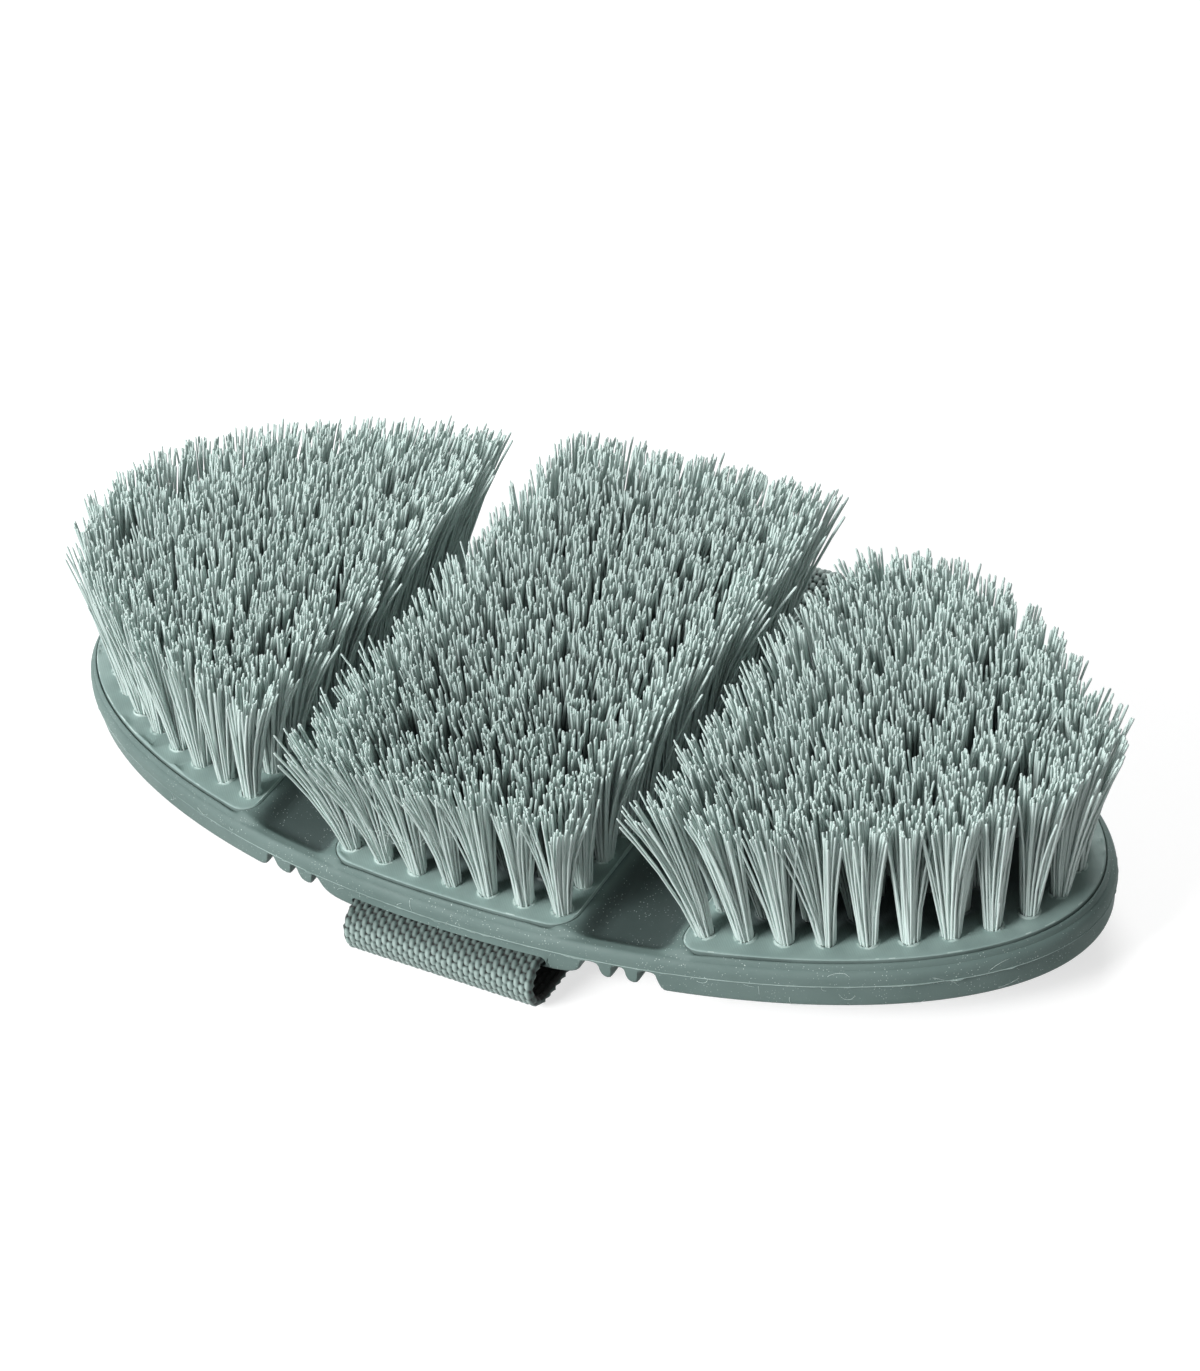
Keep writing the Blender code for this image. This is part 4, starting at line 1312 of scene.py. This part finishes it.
# Centre line of the webbing across the brush: y and height above the floor
def strapPath():
    half = body["halfWidth"]
    floor = strap["thickness"] / 2
    innerZ, exitZ = strap["innerHeight"], strap["exitHeight"]
    deep, middle, lip = strap["insideStops"]
    out = half + strap["outside"]
    path = [(half - deep, innerZ), (half - middle, innerZ), (half - lip, exitZ), (out, exitZ)]

    def bend(centre, radius, start, end, steps):
        for step in range(1, steps + 1):
            turn = math.radians(start + (end - start) * step / steps)
            path.append((centre[0] + radius * math.cos(turn), centre[1] + radius * math.sin(turn)))

    radius, angle, length = strap["riseRadius"], strap["riseAngle"], strap["riseLength"]
    bend((out, exitZ + radius), radius, -90, angle - 90, 8)
    rise = math.radians(angle)
    path.append((path[-1][0] + length * math.cos(rise), path[-1][1] + length * math.sin(rise)))
    fold = strap["farFold"]
    top = (path[-1][0] + fold * math.sin(rise), path[-1][1] - fold * math.cos(rise))
    bend(top, fold, angle + 90, angle + 90 - strap["farTurn"], 16)
    outY, outZ = path[-1]
    downY = strap["farDown"]
    for step in range(1, strap["downSteps"] + 1):    # from the fold down to the resting surface
        y = outY + (downY - outY) * step / strap["downSteps"]
        share = (y - downY) / (outY - downY)
        path.append((y, floor + (outZ - floor) * share ** strap["downPower"]))
    foldY = strap["nearOut"] - half
    fold = (exitZ - floor) / 2
    path.append((foldY, floor))
    bend((foldY, floor + fold), fold, -90, -270, 24)
    path += [(lip - half, exitZ), (middle - half, innerZ), (deep - half, innerZ)]
    return np.array(path)


# The path walked at even steps, with the direction square to it
def walkPath(step):
    path = strapPath()
    run = np.concatenate([[0.0], np.cumsum(np.hypot(*np.diff(path, axis=0).T))])
    count = int(run[-1] / step)
    spots = np.linspace(0.0, run[-1], count + 1)
    y = np.interp(spots, run, path[:, 0])
    z = np.interp(spots, run, path[:, 1])
    reach = strap["smoothing"]
    kernel = np.hanning(2 * reach + 1)
    kernel /= kernel.sum()
    beyond = np.arange(1, reach + 1)
    padded = [np.concatenate([line[0] - (line[1] - line[0]) * beyond[::-1], line,
                              line[-1] + (line[-1] - line[-2]) * beyond]) for line in (y, z)]
    y, z = [np.convolve(line, kernel, mode="valid") for line in padded]
    ahead = np.stack([np.gradient(y), np.gradient(z)], axis=1)
    ahead /= np.linalg.norm(ahead, axis=1, keepdims=True)
    square = np.stack([-ahead[:, 1], ahead[:, 0]], axis=1)
    return spots, np.stack([y, z], axis=1), square


# Height of the weave: long yarn bumps side by side, each column half a stitch on from the next
def weaveHeight(across, run):
    pitch = 2.0 * strap["halfWidth"] / strap["yarns"]
    column = np.clip(np.floor((across + strap["halfWidth"]) / pitch), 0, strap["yarns"] - 1)
    inColumn = (across + strap["halfWidth"] - (column + 0.5) * pitch) / (pitch * 0.5)
    stitch = run / strap["stitchLength"] + 0.5 * (column % 2)
    inStitch = (stitch - np.floor(stitch)) * 2.0 - 1.0
    lean = strap["stitchLean"] * inStitch
    power, depth = strap["yarnRound"]
    swell = 1.0 - np.abs(np.clip(inColumn + lean, -1.2, 1.2)) ** power * depth
    power, depth, extra = strap["stitchRound"]
    swell -= np.abs(inStitch) ** power * (depth + extra * np.abs(inColumn))
    return np.clip(swell, 0.0, 1.0) ** strap["weavePower"]


# The far loop lies a little askew
def strapShift(y):
    askew = smoothStep(body["halfWidth"], body["halfWidth"] + strap["askewReach"], y)
    return strap["offCentre"] + strap["askew"] * float(askew)


def buildStrap():
    pitch = 2.0 * strap["halfWidth"] / strap["yarns"]
    stepAlong = strap["stitchLength"] / strap["samplesAlong"]
    run, line, square = walkPath(stepAlong)
    half = strap["halfWidth"]
    columns = strap["yarns"] * strap["samplesPerYarn"]
    across = np.linspace(-half, half, columns + 1)
    grid = weaveHeight(across[None, :], run[:, None])
    rim = np.abs(across) > half - pitch * strap["rimShare"]
    grid[:, rim] *= strap["rimSink"]
    base = strap["thickness"] / 2 - strap["raise"]
    points = []
    weave = []
    for i in range(len(run)):
        offset = base + strap["raise"] * grid[i]
        for j, x in enumerate(across):
            y = line[i, 0] + square[i, 0] * offset[j]
            z = line[i, 1] + square[i, 1] * offset[j]
            points.append((x + strapShift(y), y, z - partingHeight))
            # painted shadow where the near loop tucks under the body
            tucked = smoothStep(*strap["tuckedHeight"], z) if y < 0.0 else 0.0
            weave.append(grid[i, j] * (1.0 - strap["tuckedShade"] * float(tucked)))
    width = columns + 1
    outerRows = [list(range(i * width, (i + 1) * width)) for i in range(len(run))]
    faces = joinRows(outerRows, False)
    # The other side with half the samples
    innerRows = []
    innerRun = list(range(0, len(run), 2))
    if innerRun[-1] != len(run) - 1:
        innerRun.append(len(run) - 1)
    for i in innerRun:
        first = len(points)
        for j in range(0, width, 2):
            offset = base + strap["raise"] * grid[i, j] * strap["innerRelief"]
            y = line[i, 0] - square[i, 0] * offset
            z = line[i, 1] - square[i, 1] * offset
            points.append((across[j] + strapShift(y), y, z - partingHeight))
            # painted shade on the inner side of the loops
            weave.append(grid[i, j] * strap["innerShade"])
        innerRows.append(list(range(first, len(points))))
    faces += [[a, d, c, b] for a, b, c, d in joinRows(innerRows, False)]
    # Selvedge: a rounded edge with a thread loop at every stitch
    for column, sign in ((0, -1), (-1, 1)):
        rows = []
        for i, innerRow in zip(innerRun, innerRows):
            turn = 2.0 * math.pi * run[i] / strap["stitchLength"]
            loop = strap["threadLoop"] + strap["threadLoop"] * math.cos(turn)
            ragged = max(0.0, unevenAt(sign, run[i], 0.0, scale=0.9, seed=5.0))
            loop += strap["threadRagged"] * ragged
            outer = outerRows[i][column]
            inner = innerRow[column]
            row = [outer]
            for share in (0.3, 0.7):
                bulge = loop * math.sin(math.pi * share) * strap["threadBulge"]
                low = np.array(points[outer])
                high = np.array(points[inner])
                spot = low + (high - low) * share
                row.append(len(points))
                points.append((spot[0] + sign * bulge, spot[1], spot[2]))
                weave.append(0.45 + 0.4 * loop)
            row.append(inner)
            rows.append(row)
        faces += [quad if sign < 0 else quad[::-1] for quad in joinRows(rows, False)]
    made = makePiece("handStrapWebbing", points, faces, [webbingPaint])
    writeAttribute(made.data, "weave", weave)
    bm = bmesh.new()
    bm.from_mesh(made.data)
    bmesh.ops.recalc_face_normals(bm, faces=bm.faces)
    bm.to_mesh(made.data)
    bm.free()
    return made


webbing = buildStrap()
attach(webbing, "middle")
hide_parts("hand_strap")
print(webbing.name, len(webbing.data.polygons), "faces")


for name in ("staple_near_left", "staple_near_right", "staple_far_left", "staple_far_right"):
    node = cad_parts[name]
    node.data.materials.clear()
    node.data.materials.append(steelPaint)
print("staples coloured")


stage = {
    "floorHalf": 4.0,
    "floorColour": (0.42, 0.42, 0.42),
    "floorRoughness": 0.9,
    "floorSpecular": 0.1,
    "glow": 0.68,           # plain light that only the camera sees in the floor
    "ambient": 0.16,
}


# One for light that the camera sees directly, in a gloss or through glass, and zero for the rest
def seenDirectly(nodes, links):
    rays = nodes.new("ShaderNodeLightPath")
    seen = rays.outputs["Is Camera Ray"]
    for kind in ("Is Glossy Ray", "Is Transmission Ray"):
        larger = nodes.new("ShaderNodeMath")
        larger.operation = "MAXIMUM"
        links.new(seen, larger.inputs[0])
        links.new(rays.outputs[kind], larger.inputs[1])
        seen = larger.outputs[0]
    return seen


def buildFloor():
    half = stage["floorHalf"]
    mesh = bpy.data.meshes.new("paleFloor")
    mesh.from_pydata([(-half, -half, 0), (half, -half, 0), (half, half, 0), (-half, half, 0)],
                     [], [(0, 1, 2, 3)])
    floor = bpy.data.objects.new("paleFloor", mesh)
    bpy.context.scene.collection.objects.link(floor)
    made, nodes, links, shader = newMaterial("paleFloorPaint")
    shader.inputs["Base Color"].default_value = (*stage["floorColour"], 1.0)
    shader.inputs["Roughness"].default_value = stage["floorRoughness"]
    shader.inputs["Specular IOR Level"].default_value = stage["floorSpecular"]
    seen = nodes.new("ShaderNodeMath")
    seen.operation = "MULTIPLY"
    seen.inputs[1].default_value = stage["glow"]
    links.new(seenDirectly(nodes, links), seen.inputs[0])
    glow = nodes.new("ShaderNodeEmission")
    links.new(seen.outputs[0], glow.inputs["Strength"])
    added = nodes.new("ShaderNodeAddShader")
    links.new(shader.outputs["BSDF"], added.inputs[0])
    links.new(glow.outputs["Emission"], added.inputs[1])
    links.new(added.outputs["Shader"], nodes["Material Output"].inputs["Surface"])
    mesh.materials.append(made)


def buildWorld():
    world = bpy.data.worlds.new("studio")
    world.use_nodes = True
    nodes = world.node_tree.nodes
    links = world.node_tree.links
    plain = nodes["Background"]
    plain.inputs["Color"].default_value = (1.0, 1.0, 1.0, 1.0)
    plain.inputs["Strength"].default_value = stage["ambient"]
    white = nodes.new("ShaderNodeBackground")
    white.inputs["Color"].default_value = (1.0, 1.0, 1.0, 1.0)
    white.inputs["Strength"].default_value = 1.0
    mixed = nodes.new("ShaderNodeMixShader")
    links.new(seenDirectly(nodes, links), mixed.inputs["Fac"])
    links.new(plain.outputs["Background"], mixed.inputs[1])
    links.new(white.outputs["Background"], mixed.inputs[2])
    links.new(mixed.outputs["Shader"], nodes["World Output"].inputs["Surface"])
    bpy.context.scene.world = world


# Soft boxes: place, size and power; each looks at the brush
lamps = {
    "frontBox": ((-0.55, -1.10, 0.75), 0.60, 29.0),
    "sideBox": ((-1.15, -0.35, 0.60), 0.60, 1.6),
    "backBox": ((-0.50, 1.10, 0.90), 0.80, 22.0),
    "rightBox": ((1.00, -0.60, 0.60), 0.90, 0.8),
}


def buildLamps():
    for name, (spot, size, power) in lamps.items():
        light = bpy.data.lights.new(name, "AREA")
        light.shape = "SQUARE"
        light.size = size
        light.energy = power
        item = bpy.data.objects.new(name, light)
        item.location = spot
        aim = Vector((0.0, 0.0, 0.02)) - Vector(spot)
        item.rotation_euler = aim.to_track_quat("-Z", "Y").to_euler()
        bpy.context.scene.collection.objects.link(item)


# The camera was fitted to the rim and the plates in the photograph
cameraFit = {
    "place": (0.27588, -0.38455, 0.40865),
    "right": (0.863289, 0.492170, -0.111807),
    "up": (-0.237328, 0.591362, 0.770692),
    "back": (0.445430, -0.638795, 0.627322),
    "lens": 90.73,
    "sensor": 36.0,
    "clip": (0.01, 30.0),
}


def buildCamera():
    lensData = bpy.data.cameras.new("photoCamera")
    lensData.lens = cameraFit["lens"]
    lensData.sensor_width = cameraFit["sensor"]
    lensData.clip_start, lensData.clip_end = cameraFit["clip"]
    camera = bpy.data.objects.new("photoCamera", lensData)
    columns = [Vector(cameraFit[axis]) for axis in ("right", "up", "back")]
    turn = Matrix(columns).transposed()
    camera.matrix_world = Matrix.Translation(cameraFit["place"]) @ turn.to_4x4()
    bpy.context.scene.collection.objects.link(camera)
    bpy.context.scene.camera = camera


buildFloor()
buildWorld()
buildLamps()
buildCamera()
bpy.context.scene.view_settings.view_transform = "Standard"
print("stage, lamps and camera set")
